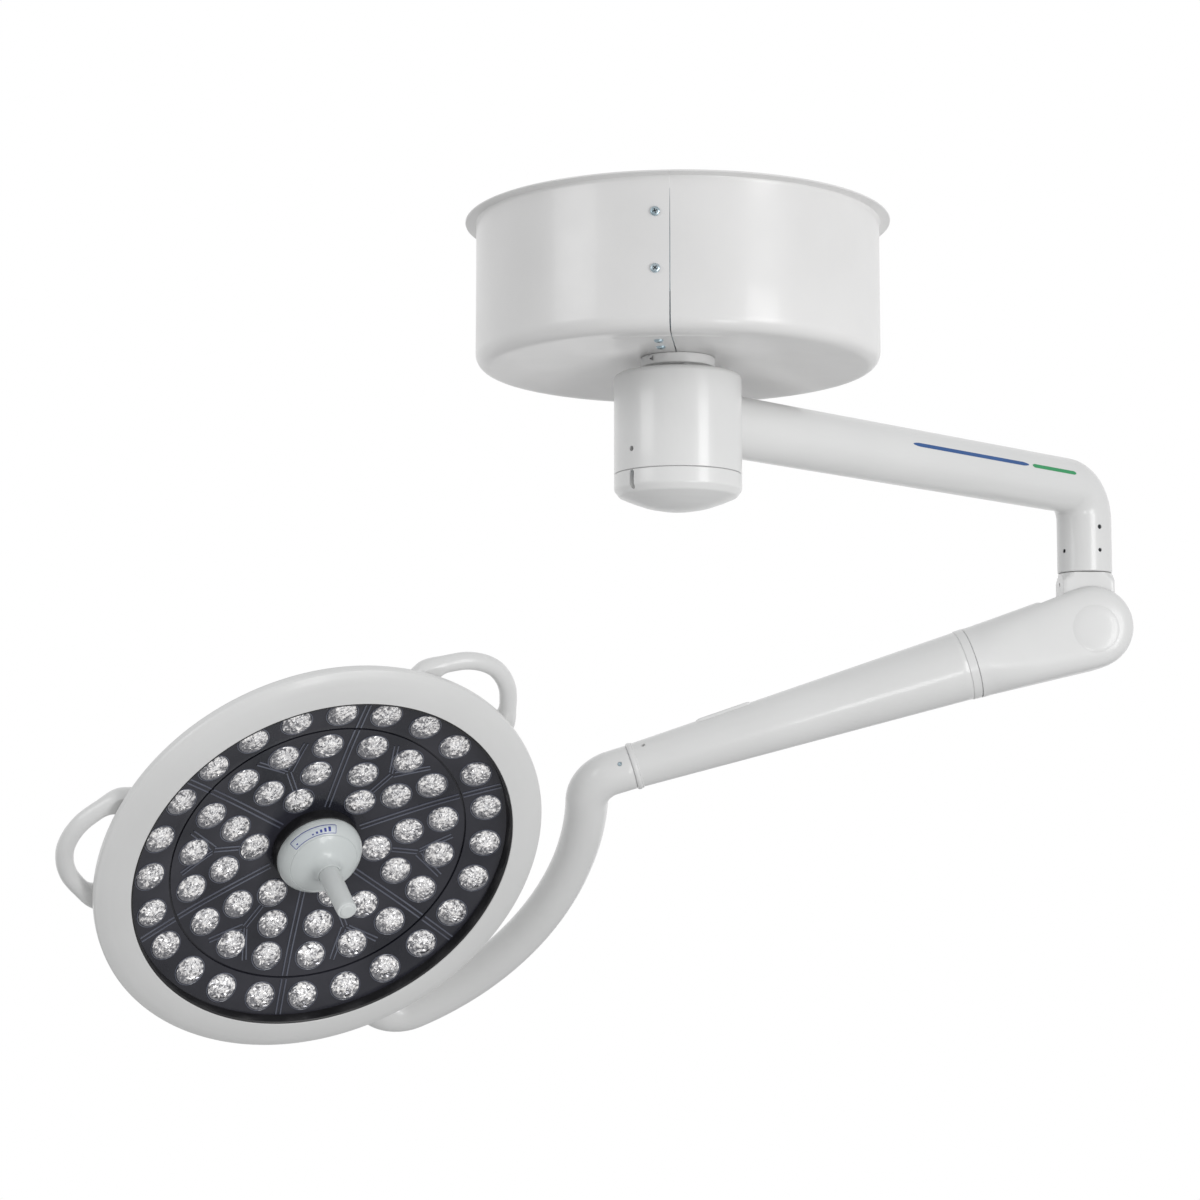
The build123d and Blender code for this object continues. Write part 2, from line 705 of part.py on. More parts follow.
with BuildPart() as spring_nuts:
    for s in (spring_s1 + 8.2, spring_s1 + 17):
        with BuildSketch(Plane.XY.offset(s)):
            with Locations((0, rod_y)):
                RegularPolygon(10.4, 6)
                Circle(6, mode=Mode.SUBTRACT)
        extrude(amount=nut_t)
save(spring_nuts.part, "spring_nuts", fore_plane)

with BuildPart() as compression_spring:
    with BuildLine() as coil:
        Helix(pitch=22, height=spring_s1 - spring_s0, radius=coil_r)
    with BuildSketch(Plane(origin=coil.line @ 0, z_dir=coil.line % 0)):
        Circle(wire_r)
    sweep(path=coil.line, is_frenet=True)
save(compression_spring.part.moved(Location((0, rod_y, spring_s0))), "compression_spring", fore_plane)

with BuildPart() as front_bush:
    with BuildSketch(Plane.XY.offset(545)):
        Circle(25)
        Circle(yoke_spindle_r + running_gap, mode=Mode.SUBTRACT)
    extrude(amount=61)
save(front_bush.part, "front_bush", fore_plane)

# ---------------------------------------------------------------- yoke

with BuildPart() as yoke_spindle:
    with BuildSketch(Plane.XY.offset(532)):
        Circle(21)
    extrude(amount=10)
    with BuildSketch(Plane.XY.offset(542)):
        Circle(yoke_spindle_r)
    extrude(amount=73)
    with BuildSketch(Plane.XY.offset(615)):
        Circle(yoke_r - yoke_wall)
    extrude(amount=22)
save(yoke_spindle.part, "yoke_spindle", fore_plane)

corner_a = sqrt((yoke_arc_r + yoke_bend_r) ** 2 - (yoke_bend_r + yoke_offset) ** 2)
corner_dir = atan2(yoke_bend_r + yoke_offset, corner_a)
hook_b = sqrt((yoke_arc_r - yoke_hook_r) ** 2 - yoke_hook_r**2)
hook_dir = atan2(hook_b, yoke_hook_r)
yoke_start_a = fore_length - 615.0
stub_b = 165.0


def yoke_arc(turn):
    return (yoke_arc_r * cos(turn), yoke_arc_r * sin(turn) - yoke_offset)


with BuildPart() as yoke_tube:
    with BuildLine(Plane.XY) as yoke_path:
        socket = Line((yoke_start_a, 0), (corner_a, 0))
        first = RadiusArc(socket @ 1, yoke_arc(corner_dir), yoke_bend_r)
        sweep_arc = ThreePointArc(first @ 1, yoke_arc((corner_dir + hook_dir) / 2), yoke_arc(hook_dir))
        hook = RadiusArc(sweep_arc @ 1, (0, hook_b - yoke_offset), -yoke_hook_r)
        Line(hook @ 1, (0, stub_b))
    with BuildSketch(Plane(origin=(yoke_start_a, 0, 0), x_dir=(0, 1, 0), z_dir=(-1, 0, 0))):
        Circle(yoke_r)
    sweep(path=yoke_path.line)
    with BuildSketch(Plane(origin=(yoke_start_a, 0, 0), x_dir=(0, 1, 0), z_dir=(-1, 0, 0))):
        Circle(yoke_r - yoke_wall)
    sweep(path=yoke_path.line, mode=Mode.SUBTRACT)
save(yoke_tube.part, "yoke_tube", yoke_plane)

spindle_in = 110.0
along_tilt = Plane(origin=(0, 0, 0), x_dir=(1, 0, 0), z_dir=(0, 1, 0))
with BuildPart() as tilt_spindle:
    with BuildSketch(along_tilt.offset(stub_b - 20)):
        Circle(yoke_r)
    extrude(amount=20)
    with BuildSketch(along_tilt.offset(stub_b)):
        Circle(yoke_r - yoke_wall)
    extrude(amount=28)
    with BuildSketch(along_tilt.offset(spindle_in - yoke_offset - 18)):
        Circle(tilt_spindle_r)
    extrude(amount=stub_b - spindle_in + yoke_offset)
    with BuildSketch(along_tilt.offset(spindle_in - yoke_offset - 10)):
        Circle(tilt_spindle_r + 1)
        Circle(tilt_spindle_r - 2, mode=Mode.SUBTRACT)
    extrude(amount=3, mode=Mode.SUBTRACT)
save(tilt_spindle.part, "tilt_spindle", yoke_plane)

with BuildPart() as yoke_screw:
    with BuildSketch(Plane.XZ.offset(yoke_r - 1)):
        with Locations((yoke_start_a - 10, 0)):
            Circle(3)
    extrude(amount=2)
save(yoke_screw.part - yoke_tube.part, "yoke_screw", yoke_plane)

# ---------------------------------------------------------------- lamp head

tilt_local = Vector(cos(radians(tilt_angle)), sin(radians(tilt_angle)), 0)
tilt_head = Plane(origin=(0, 0, 0), x_dir=(0, 0, 1), z_dir=tilt_local)


def dish_z(r):
    for (r0, z0), (r1, z1) in zip(dish, dish[1:]):
        if r <= r1:
            return z0 + (z1 - z0) * (r - r0) / (r1 - r0)
    return dish[-1][1]


def dish_slope(r):
    return degrees(atan2(dish_z(r + 12) - dish_z(r - 12), 24))


def dish_section(drop, thick, r_in, r_out):
    # radial outline that follows the dish, a set distance behind it
    points = [(r_in, dish_z(r_in) - drop)]
    points += [(r, z - drop) for r, z in dish if r_in + 1 < r < r_out - 1]
    points.append((r_out, dish_z(r_out) - drop))
    points += [(r, z - thick) for r, z in reversed(points)]
    return points


lens_spots = []
for sector in range(6):
    spots = [(81.6, 0), (119.6, -15), (119.6, 15), (164, -19.6), (164, 0), (164, 19.6)]
    spots += [(218.7, -22.4), (218.7, -7.34), (218.7, 7.34), (218.7, 22.4)]
    for r, offset in spots:
        angle = 60 * sector + offset
        slope = radians(dish_slope(r))
        normal = Vector(-sin(slope) * cos(radians(angle)), -sin(slope) * sin(radians(angle)), cos(slope))
        lens_spots.append(Plane(origin=ring(r, angle, dish_z(r)), x_dir=heading(angle + 90), z_dir=normal))

screw_angles = (-90.0, -30.0, 30.0, 90.0, 150.0, 210.0)
rim_screw_r = 272.0

with BuildPart() as bezel_ring:
    with BuildSketch(Plane.XZ):
        with BuildLine():
            front = Spline((opening_r, face_z), (268, face_z - 2), (281, face_z - 6.5), (rim_r, face_z - 14))
            edge = Line(front @ 1, (rim_r, rim_back_z))
            back = Polyline(
                edge @ 1, (264, rim_back_z), (264, 66), (249, 70), (249, 58), (opening_r, 58), front @ 0
            )
        make_face()
    revolve(axis=Axis.Z)
    with BuildSketch(Plane.XY.offset(rim_back_z)):
        with Locations([ring(rim_screw_r, angle, 0) for angle in screw_angles]):
            Circle(2)
    extrude(amount=9, mode=Mode.SUBTRACT)
save(bezel_ring.part, "bezel_ring", head_plane)

with BuildPart() as opening_liner:
    with BuildSketch(Plane.XY.offset(58)):
        Circle(opening_r)
        Circle(opening_r - 3, mode=Mode.SUBTRACT)
    extrude(amount=20)
with BuildPart() as panel_blank:
    with BuildSketch(Plane.XZ):
        with BuildLine():
            Polyline(*dish_section(0, panel_t, centre_ring_r, 242.7), close=True)
        make_face()
    revolve(axis=Axis.Z)
lens_cutters = [spot.location * Pos(0, 0, 2) * Cylinder(lens_r, 20) for spot in lens_spots]
save(opening_liner.part, "opening_liner", head_plane)
save(panel_blank.part - lens_cutters, "lens_panel", head_plane)

with BuildPart() as lenses:
    for spot in lens_spots:
        with BuildSketch(spot.offset(-lens_back)):
            Circle(lens_r)
        extrude(amount=lens_back + lens_front - 1.2)
        with BuildSketch(spot.offset(lens_front - 1.2)):
            Circle(lens_r - 0.2)
        extrude(amount=1.2, taper=40)
save(lenses.part, "lenses", head_plane)

with BuildPart() as led_boards:
    for spot in lens_spots:
        with BuildSketch(spot.offset(-lens_back - 1.6)):
            Circle(13)
        extrude(amount=1.6)
        with BuildSketch(spot.offset(-lens_back - 1.6)):
            Rectangle(4, 4)
        extrude(amount=-1.0)
save(led_boards.part, "led_boards", head_plane)

with BuildPart() as sink_plate:
    with BuildSketch(Plane.XZ):
        with BuildLine():
            Polyline(*dish_section(sink_drop, sink_drop + 6, centre_ring_r, 238), close=True)
        make_face()
    revolve(axis=Axis.Z)
with BuildPart() as sink_fins:
    for angle in (-102.0, -138.0, 10.0, 50.0, 70.0, 110.0, 130.0, 170.0, -10.0, -50.0, -70.0, -170.0):
        with BuildSketch(Plane.XY.offset(12)):
            with Locations(Location(ring(150, angle, 0), angle)):
                Rectangle(110, 3)
        extrude(amount=45)
board_cutters = [spot.location * Pos(0, 0, -lens_back + 2) * Cylinder(lens_r + 0.3, 9.2) for spot in lens_spots]
with BuildPart() as above_sink:
    with BuildSketch(Plane.XZ):
        with BuildLine():
            Polyline(*dish_section(-30, 34 + sink_drop, centre_ring_r - 10, 242), close=True)
        make_face()
    revolve(axis=Axis.Z)
with BuildPart() as bracket_saddle:
    with BuildSketch(tilt_head.offset(spindle_in - 12)):
        Circle(bracket_r + 1)
    extrude(amount=80)
heat_sink = sink_plate.part + (sink_fins.part - above_sink.part) - board_cutters - bracket_saddle.part
save(heat_sink, "heat_sink", head_plane)

with BuildPart() as centre_ring:
    with BuildSketch(Plane.XZ):
        with BuildLine():
            Polyline((dome_r, 24), (centre_ring_r, 24), (centre_ring_r, 51), (57.5, 53), (dome_r, 53), close=True)
        make_face()
    revolve(axis=Axis.Z)
save(centre_ring.part, "centre_ring", head_plane)

with BuildPart() as control_dome:
    with BuildSketch(Plane.XZ):
        with BuildLine():
            shoulder = Line((dome_r, 40), (dome_r, dome_base_z + 4))
            crown = Spline(
                shoulder @ 1, (46, 66), (32, 75.6), (post_r + 0.4, dome_top_z), tangents=((0, 1), (-1, 0.12))
            )
            lip = Line(crown @ 1, (post_r + 0.4, dome_top_z - 3))
            under = Spline(lip @ 1, (31, 72.4), (43.8, 63.6), (50, dome_base_z + 3), tangents=((1, -0.12), (0, -1)))
            Polyline(under @ 1, (50, 40), shoulder @ 0)
        make_face()
    revolve(axis=Axis.Z)
save(control_dome.part, "control_dome", head_plane)

with BuildPart() as handle_post:
    with BuildSketch(Plane.XZ):
        with BuildLine():
            Polyline((0, 46), (24, 46), (24, 50), (post_r - 0.5, 50), (post_r - 0.5, post_seat_z), (post_r, post_seat_z))
            Polyline((post_r, post_seat_z), (post_r, post_tip_z - 5), (post_r - 1.5, post_tip_z - 3))
            Polyline((post_r - 1.5, post_tip_z - 3), (9.5, post_tip_z - 2.2), (9.5, post_tip_z), (0, post_tip_z), (0, 46))
        make_face()
    revolve(axis=Axis.Z)
    with BuildSketch(Plane.XY.offset(46)):
        Circle(5)
    extrude(amount=-14)
save(handle_post.part, "handle_post", head_plane)

with BuildPart() as dimmer_encoder:
    with BuildSketch(Plane.XY.offset(24)):
        Circle(dome_r)
        Circle(9, mode=Mode.SUBTRACT)
    extrude(amount=4)
    with BuildSketch(Plane.XY.offset(28)):
        RectangleRounded(26, 26, 2)
        Circle(5 + running_gap, mode=Mode.SUBTRACT)
    extrude(amount=14)
    with BuildSketch(Plane.XY.offset(28)):
        with PolarLocations(35, 3):
            Circle(5)
    extrude(amount=6)
save(dimmer_encoder.part, "dimmer_encoder", head_plane)

with BuildPart() as housing_outside:
    with BuildSketch(Plane.XZ):
        with BuildLine():
            flange = Polyline(
                (0, rim_back_z), (rim_r - 5, rim_back_z), (rim_r - 5, rim_back_z - 3), (housing_r + 4, rim_back_z - 4)
            )
            flank = Line(flange @ 1, (256, 30))
            turn_in = ThreePointArc(flank @ 1, (236, 2), (204, -24))
            back = ThreePointArc(turn_in @ 1, (110, -54), (gate_r, housing_back_z))
            Polyline(back @ 1, (0, housing_back_z), flange @ 0)
        make_face()
    revolve(axis=Axis.Z)
with BuildPart() as housing_cavity:
    with BuildSketch(Plane.XZ):
        with BuildLine():
            mouth = Polyline((0, rim_back_z + 5), (housing_r + 1, rim_back_z + 5), (housing_r + 0.8, 50.5), (253.2, 31.3))
            turn_in = ThreePointArc(mouth @ 1, (233.6, 3.9), (202.6, -21.4))
            back = ThreePointArc(turn_in @ 1, (109.6, -51), (gate_r, housing_back_z + housing_wall))
            Polyline(back @ 1, (0, housing_back_z + housing_wall), mouth @ 0)
        make_face()
    revolve(axis=Axis.Z)
with BuildPart() as housing_cuts:
    with BuildSketch(tilt_head.offset(182)):
        Circle(yoke_r + 2)
    extrude(amount=120)
    with BuildSketch(Plane.XY.offset(rim_back_z - 6)):
        with Locations([ring(rim_screw_r, angle, 0) for angle in screw_angles]):
            Circle(2)
    extrude(amount=10)
    with BuildSketch(Plane.XY.offset(rim_back_z - 10)):
        with Locations([ring(rim_screw_r, angle, 0) for angle in screw_angles]):
            Circle(4)
    extrude(amount=6.4)
rear_housing_part = housing_outside.part - housing_cavity.part - housing_cuts.part
save(rear_housing_part, "rear_housing", head_plane)

with BuildPart() as rim_screws:
    with BuildSketch(Plane.XY.offset(rim_back_z - 3.6)):
        with Locations([ring(rim_screw_r, angle, 0) for angle in screw_angles]):
            Circle(2)
    extrude(amount=11)
    with BuildSketch(Plane.XY.offset(rim_back_z - 6)):
        with Locations([ring(rim_screw_r, angle, 0) for angle in screw_angles]):
            Circle(4)
    extrude(amount=2.4)
save(rim_screws.part, "rim_screws", head_plane)

with BuildPart() as pivot_bracket:
    with BuildSketch(tilt_head.offset(spindle_in - 2)):
        Circle(bracket_r)
        with Locations((-30, 0)):
            Rectangle(60, 2 * bracket_r)
        Circle(tilt_bush_r, mode=Mode.SUBTRACT)
    extrude(amount=60)
    with BuildSketch(Plane.XY.offset(-44)):
        with Locations(Location(ring(spindle_in + 28, tilt_angle, 0), tilt_angle)):
            RectangleRounded(96, 100, 10)
    extrude(amount=-20)
save(pivot_bracket.part & housing_cavity.part, "pivot_bracket", head_plane)

with BuildPart() as tilt_bush:
    with BuildSketch(tilt_head.offset(spindle_in - 2)):
        Circle(tilt_bush_r)
        Circle(tilt_spindle_r + running_gap, mode=Mode.SUBTRACT)
    extrude(amount=60)
save(tilt_bush.part, "tilt_bush", head_plane)

with BuildPart() as driver_board:
    with BuildSketch(Plane.XY.offset(-30)):
        with Locations(ring(60, 60, 0)):
            Rectangle(120, 90, rotation=60)
    extrude(amount=1.6)
    with BuildSketch(Plane.XY.offset(-30 + 1.6)):
        for x, y, w, h in ((45, 30, 26, 18), (20, 62, 20, 20), (60, 70, 30, 14)):
            with Locations((x, y)):
                Rectangle(w, h, rotation=60)
    extrude(amount=12)
    with BuildSketch(Plane.XY.offset(-30)):
        for sx in (-52, 52):
            for sy in (-38, 38):
                post_at = Vector(sx, sy, 0).rotate(Axis.Z, 60) + Vector(*ring(60, 60, 0))
                with Locations((post_at.X, post_at.Y)):
                    Circle(4)
    extrude(amount=-30)
save(driver_board.part & housing_cavity.part, "driver_board", head_plane)

handle_z, handle_reach, handle_root_y = 44.0, 322.3, 73.0
handle_root_x = 246.0


def loop_handle(angle):
    with BuildPart() as handle:
        with BuildLine() as path:
            bend = [(286, 64, 0), (300, 53, 0), (311.5, 38, 0), (319.5, 18, 0), (handle_reach, 0, 0)]
            half = [(handle_root_x, handle_root_y, 0)] + bend
            Spline(*half, *[(x, -y, z) for x, y, z in reversed(half[:-1])])
        with BuildSketch(Plane(origin=path.line @ 0, z_dir=path.line % 0)):
            Circle(handle_r)
        sweep(path=path.line)
    return handle.part.moved(Location((0, 0, handle_z), (0, 0, angle)))


for number, angle in enumerate(handle_angles, 1):
    save(loop_handle(angle) - housing_outside.part, "loop_handle_" + str(number), head_plane)

label_angle, label_r = 75.0, 34.0
with BuildPart() as dome_skin:
    with BuildSketch(Plane.XZ):
        with BuildLine():
            crown = Spline(
                (dome_r, dome_base_z + 4), (46, 66), (32, 75.6), (post_r + 0.4, dome_top_z),
                tangents=((0, 1), (-1, 0.12)),
            )
            lip = Line(crown @ 1, (post_r + 0.4, dome_top_z + 0.8))
            under = Spline(
                lip @ 1, (32.3, 76.4), (46.6, 66.6), (dome_r + 0.8, dome_base_z + 4), tangents=((1, -0.12), (0, -1))
            )
            Line(under @ 1, crown @ 0)
        make_face()
    revolve(axis=Axis.Z)
with BuildPart() as label_column:
    with BuildSketch(Plane.XY.offset(dome_base_z)):
        with Locations(Location(ring(label_r, label_angle, 0), label_angle + 90)):
            RectangleRounded(46, 18, 8)
    extrude(amount=40)
save(dome_skin.part & label_column.part, "level_label", head_plane)
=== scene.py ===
import bpy, bmesh, json, math, random
from math import cos, sin, radians, sqrt, atan2, pi
from mathutils import Vector, Matrix


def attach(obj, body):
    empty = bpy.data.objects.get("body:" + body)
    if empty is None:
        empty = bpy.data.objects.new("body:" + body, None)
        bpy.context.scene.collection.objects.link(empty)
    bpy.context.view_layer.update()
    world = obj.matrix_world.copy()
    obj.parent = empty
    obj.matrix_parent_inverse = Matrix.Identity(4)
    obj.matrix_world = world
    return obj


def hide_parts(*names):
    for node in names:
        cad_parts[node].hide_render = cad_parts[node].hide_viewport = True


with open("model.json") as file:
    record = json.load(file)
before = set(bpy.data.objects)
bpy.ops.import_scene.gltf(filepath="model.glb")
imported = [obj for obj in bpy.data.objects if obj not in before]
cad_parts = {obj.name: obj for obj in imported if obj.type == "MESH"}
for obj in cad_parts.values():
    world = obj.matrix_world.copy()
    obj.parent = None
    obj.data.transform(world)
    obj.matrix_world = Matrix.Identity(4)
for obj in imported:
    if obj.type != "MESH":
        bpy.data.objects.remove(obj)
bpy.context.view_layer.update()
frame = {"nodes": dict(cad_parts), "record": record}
NODES = frame["nodes"]
MM = 0.001

# ---------------------------------------------------------------- frames of the moving parts (mm)


def heading(azimuth, pitch=0.0):
    a, p = radians(azimuth), radians(pitch)
    return Vector((cos(p) * cos(a), cos(p) * sin(a), sin(p)))


def basis(origin, x, z):
    x, z = x.normalized(), z.normalized()
    y = z.cross(x)
    m = Matrix((x, y, z)).transposed().to_4x4()
    m.translation = origin
    return m


WORLD = Matrix.Identity(4)
PIVOT = Vector((762, 0, -400))
ALONG = heading(136.4, -17.0)
ACROSS = heading(46.4)
FORE = basis(PIVOT, -ACROSS, ALONG)
SAG = (Vector((0, 0, -1)) - ALONG * ALONG.dot(Vector((0, 0, -1)))).normalized()
TILT = SAG * cos(radians(44.04)) + ACROSS * sin(radians(44.04))
ELBOW = PIVOT + ALONG * 1029.1
YOKE = basis(ELBOW, -ALONG, (-ALONG).cross(TILT))
FACE = ALONG.cross(TILT) * cos(radians(-9.46)) + ALONG * sin(radians(-9.46))
GRIP = Matrix.Rotation(radians(120), 3, FACE) @ TILT
HEAD = basis(ELBOW - TILT * 55.5, GRIP, FACE)
SEAM = -138.4

# ---------------------------------------------------------------- materials


def nodes_of(name):
    mat = bpy.data.materials.new(name)
    mat.use_nodes = True
    tree = mat.node_tree
    return mat, tree, tree.nodes["Principled BSDF"]


def noise(tree, scale, detail=3.0, rough=0.5):
    coord = tree.nodes.new("ShaderNodeTexCoord")
    tex = tree.nodes.new("ShaderNodeTexNoise")
    tex.inputs["Scale"].default_value = scale
    tex.inputs["Detail"].default_value = detail
    tex.inputs["Roughness"].default_value = rough
    tree.links.new(coord.outputs["Object"], tex.inputs["Vector"])
    return tex


def ramp(tree, fac, stops):
    r = tree.nodes.new("ShaderNodeValToRGB")
    while len(r.color_ramp.elements) < len(stops):
        r.color_ramp.elements.new(0.5)
    for e, (p, c) in zip(r.color_ramp.elements, stops):
        e.position = p
        e.color = (*c, 1) if len(c) == 3 else c
    tree.links.new(fac, r.inputs["Fac"])
    return r


def bump(tree, bsdf, fac, strength, distance):
    b = tree.nodes.new("ShaderNodeBump")
    b.inputs["Strength"].default_value = strength
    b.inputs["Distance"].default_value = distance
    tree.links.new(fac, b.inputs["Height"])
    tree.links.new(b.outputs["Normal"], bsdf.inputs["Normal"])


def finish(name, low, high, rough=(0.3, 0.4), metallic=0.0, scale=9.0, coat=0.0, peel=0.0, peel_scale=450.0):
    # colour drifts softly from low to high; roughness drifts with finer smudges; peel is a fine surface
    # texture
    mat, tree, bsdf = nodes_of(name)
    drift = noise(tree, scale, 4.0)
    col = ramp(tree, drift.outputs["Fac"], [(0.3, low), (0.7, high)])
    tree.links.new(col.outputs["Color"], bsdf.inputs["Base Color"])
    smudge = noise(tree, scale * 3.1, 5.0, 0.6)
    r = ramp(tree, smudge.outputs["Fac"], [(0.3, (rough[0],) * 3), (0.75, (rough[1],) * 3)])
    tree.links.new(r.outputs["Color"], bsdf.inputs["Roughness"])
    bsdf.inputs["Metallic"].default_value = metallic
    if coat:
        bsdf.inputs["Coat Weight"].default_value = coat
        bsdf.inputs["Coat Roughness"].default_value = 0.08
    if peel:
        grain = noise(tree, peel_scale, 2.0)
        bump(tree, bsdf, grain.outputs["Fac"], peel, 0.0006)
    return mat


MAT = {
    "enamel": finish("white_enamel", (0.7, 0.7, 0.695), (0.74, 0.74, 0.735), (0.285, 0.33), scale=5,
                     coat=0.25),
    "cover": finish("white_moulding", (0.705, 0.705, 0.7), (0.745, 0.745, 0.74), (0.3, 0.35), scale=5,
                    coat=0.15),
    # lighter copy of the white enamel for the collar and neck, painted light where the crevice under the
    # canopy is in shade
    "bright": finish("collar_enamel_painted_lit", (0.93, 0.93, 0.925), (0.96, 0.96, 0.955), (0.3, 0.36), scale=5,
                     coat=0.2),
    "canopy": finish("canopy_enamel", (0.7, 0.695, 0.69), (0.735, 0.73, 0.725), (0.3, 0.4), coat=0.15,
                     peel=0.04,
                     peel_scale=260),
    "dome": finish("dome_moulding", (0.64, 0.675, 0.67), (0.68, 0.715, 0.71), (0.285, 0.36), coat=0.3,
                   peel=0.01),
    "post": finish("post_moulding", (0.66, 0.69, 0.685), (0.7, 0.725, 0.72), (0.3, 0.42), coat=0.1,
                   peel=0.02),
    "zinc": finish("zinc_plate", (0.4, 0.52, 0.58), (0.62, 0.7, 0.74), (0.29, 0.42), metallic=1.0, scale=60),
    "steel": finish("machined_steel", (0.5, 0.5, 0.51), (0.62, 0.62, 0.62), (0.29, 0.38), metallic=1.0,
                    scale=30),
    "spring": finish("spring_steel", (0.12, 0.12, 0.13), (0.2, 0.2, 0.21), (0.3, 0.45), metallic=1.0,
                     scale=40),
    "alloy": finish("cast_alloy", (0.5, 0.51, 0.52), (0.62, 0.62, 0.63), (0.45, 0.6), metallic=1.0, scale=40,
                    peel=0.25),
    # dark oxide finish of the black screws, also used as painted shade inside the cross recesses of the pan
    # heads
    "dark": finish("dark_screw", (0.05, 0.055, 0.06), (0.11, 0.115, 0.12), (0.35, 0.5), metallic=1.0,
                   scale=90),
    "bronze": finish("bush_bronze", (0.45, 0.28, 0.12), (0.6, 0.4, 0.2), (0.3, 0.45), metallic=1.0, scale=40),
    "black": finish("black_moulding", (0.008, 0.008, 0.009), (0.016, 0.016, 0.018), (0.35, 0.5), scale=25),
    "plastic": finish("dark_plastic", (0.03, 0.032, 0.035), (0.05, 0.052, 0.055), (0.45, 0.6), scale=25,
                      peel=0.1),
    "board": finish("circuit_board", (0.01, 0.09, 0.04), (0.02, 0.13, 0.06), (0.35, 0.5), scale=60),
    "led": finish("led_board", (0.7, 0.7, 0.68), (0.8, 0.8, 0.78), (0.4, 0.5), scale=60),
    "supply": finish("supply_case", (0.5, 0.51, 0.52), (0.6, 0.61, 0.62), (0.35, 0.5), metallic=1.0,
                     scale=30),
    "blue": finish("label_blue", (0.02, 0.035, 0.26), (0.03, 0.05, 0.34), (0.35, 0.45), scale=80),
    "film": finish("label_film", (0.62, 0.67, 0.72), (0.66, 0.71, 0.75), (0.29, 0.36), scale=50),
    "stripe_blue": finish("stripe_blue", (0.012, 0.075, 0.25), (0.016, 0.09, 0.29), (0.3, 0.4), scale=50),
    "stripe_green": finish("stripe_green", (0.012, 0.27, 0.09), (0.02, 0.31, 0.11), (0.3, 0.4), scale=50),
    "smoke": finish("smoked_panel", (0.011, 0.012, 0.019), (0.034, 0.034, 0.045), (0.16, 0.26), scale=11,
                    coat=0.1),
    # lighter copy of the smoked panel for ribs and lens seat rings, painted highlight along their edges
    "rib": finish("panel_rib_painted_highlight", (0.075, 0.08, 0.11), (0.14, 0.15, 0.19), (0.18, 0.26), scale=14, coat=0.4),
}


def lens_glint_material():
    # silvered optic with painted glints: noise paints bright spots with a weak glow as painted highlight,
    # grey elsewhere, with a fine crossed texture
    mat, tree, bsdf = nodes_of("lens_optic_painted_glints")
    drift = noise(tree, 170.0, 4.0, 0.65)
    col = ramp(tree, drift.outputs["Fac"],
               [(0.38, (0.2, 0.2, 0.22)), (0.51, (0.62, 0.61, 0.62)), (0.62, (1, 0.99, 0.98))])
    tree.links.new(col.outputs["Color"], bsdf.inputs["Base Color"])
    bsdf.inputs["Metallic"].default_value = 0.7
    bsdf.inputs["Roughness"].default_value = 0.16
    painted_glint_glow = ramp(tree, drift.outputs["Fac"], [(0.47, (0, 0, 0)), (0.62, (1.0, 0.96, 0.93))])
    tree.links.new(painted_glint_glow.outputs["Color"], bsdf.inputs["Emission Color"])
    bsdf.inputs["Emission Strength"].default_value = 0.3
    grain = noise(tree, 900.0, 2.0)
    bump(tree, bsdf, grain.outputs["Fac"], 0.35, 0.0006)
    return mat


def painted_glow_material():
    # centre facets of each optic: noise paints bright spots that glow weakly, a painted highlight
    mat, tree, bsdf = nodes_of("lens_core_painted_glow")
    drift = noise(tree, 420.0, 3.0, 0.6)
    col = ramp(tree, drift.outputs["Fac"], [(0.38, (0.42, 0.42, 0.44)), (0.6, (1, 0.99, 0.98))])
    tree.links.new(col.outputs["Color"], bsdf.inputs["Base Color"])
    tree.links.new(col.outputs["Color"], bsdf.inputs["Emission Color"])
    bsdf.inputs["Emission Strength"].default_value = 0.34
    bsdf.inputs["Metallic"].default_value = 0.5
    bsdf.inputs["Roughness"].default_value = 0.2
    return mat


# optic material with painted glints and a weak painted glow
MAT["lens"] = lens_glint_material()
MAT["painted_glow_core"] = painted_glow_material()
# dark facets of the optics, painted shade on their lower side
MAT["shade"] = finish("lens_painted_shade", (0.16, 0.16, 0.18), (0.42, 0.42, 0.44), (0.15, 0.24), metallic=0.8,
                      scale=330)

# ---------------------------------------------------------------- mesh helpers (everything in mm, local to a
# frame)


def fillet(points, radii, steps=6):
    # rounds the corners of an open 2-D line; radii is one number or one per inner point
    out = [Vector(points[0])]
    inner = points[1:-1]
    if not isinstance(radii, (list, tuple)):
        radii = [radii] * len(inner)
    for i, r in enumerate(radii):
        a, b, c = (Vector(p) for p in points[i:i + 3])
        u, v = (a - b), (c - b)
        half = u.angle(v, pi) / 2
        if r <= 0 or abs(half - pi / 2) < 0.01:
            out.append(b)
            continue
        cut = min(r / math.tan(half), u.length * 0.499, v.length * 0.499)
        r = cut * math.tan(half)
        centre = b + (u.normalized() + v.normalized()).normalized() * (r / sin(half))
        p0, p1 = b + u.normalized() * cut - centre, b + v.normalized() * cut - centre
        a0 = atan2(p0.y, p0.x)
        turn = (atan2(p1.y, p1.x) - a0 + pi) % (2 * pi) - pi
        for k in range(steps + 1):
            t = a0 + turn * k / steps
            out.append(centre + Vector((cos(t), sin(t))) * r)
    out.append(Vector(points[-1]))
    return [tuple(p) for p in out]


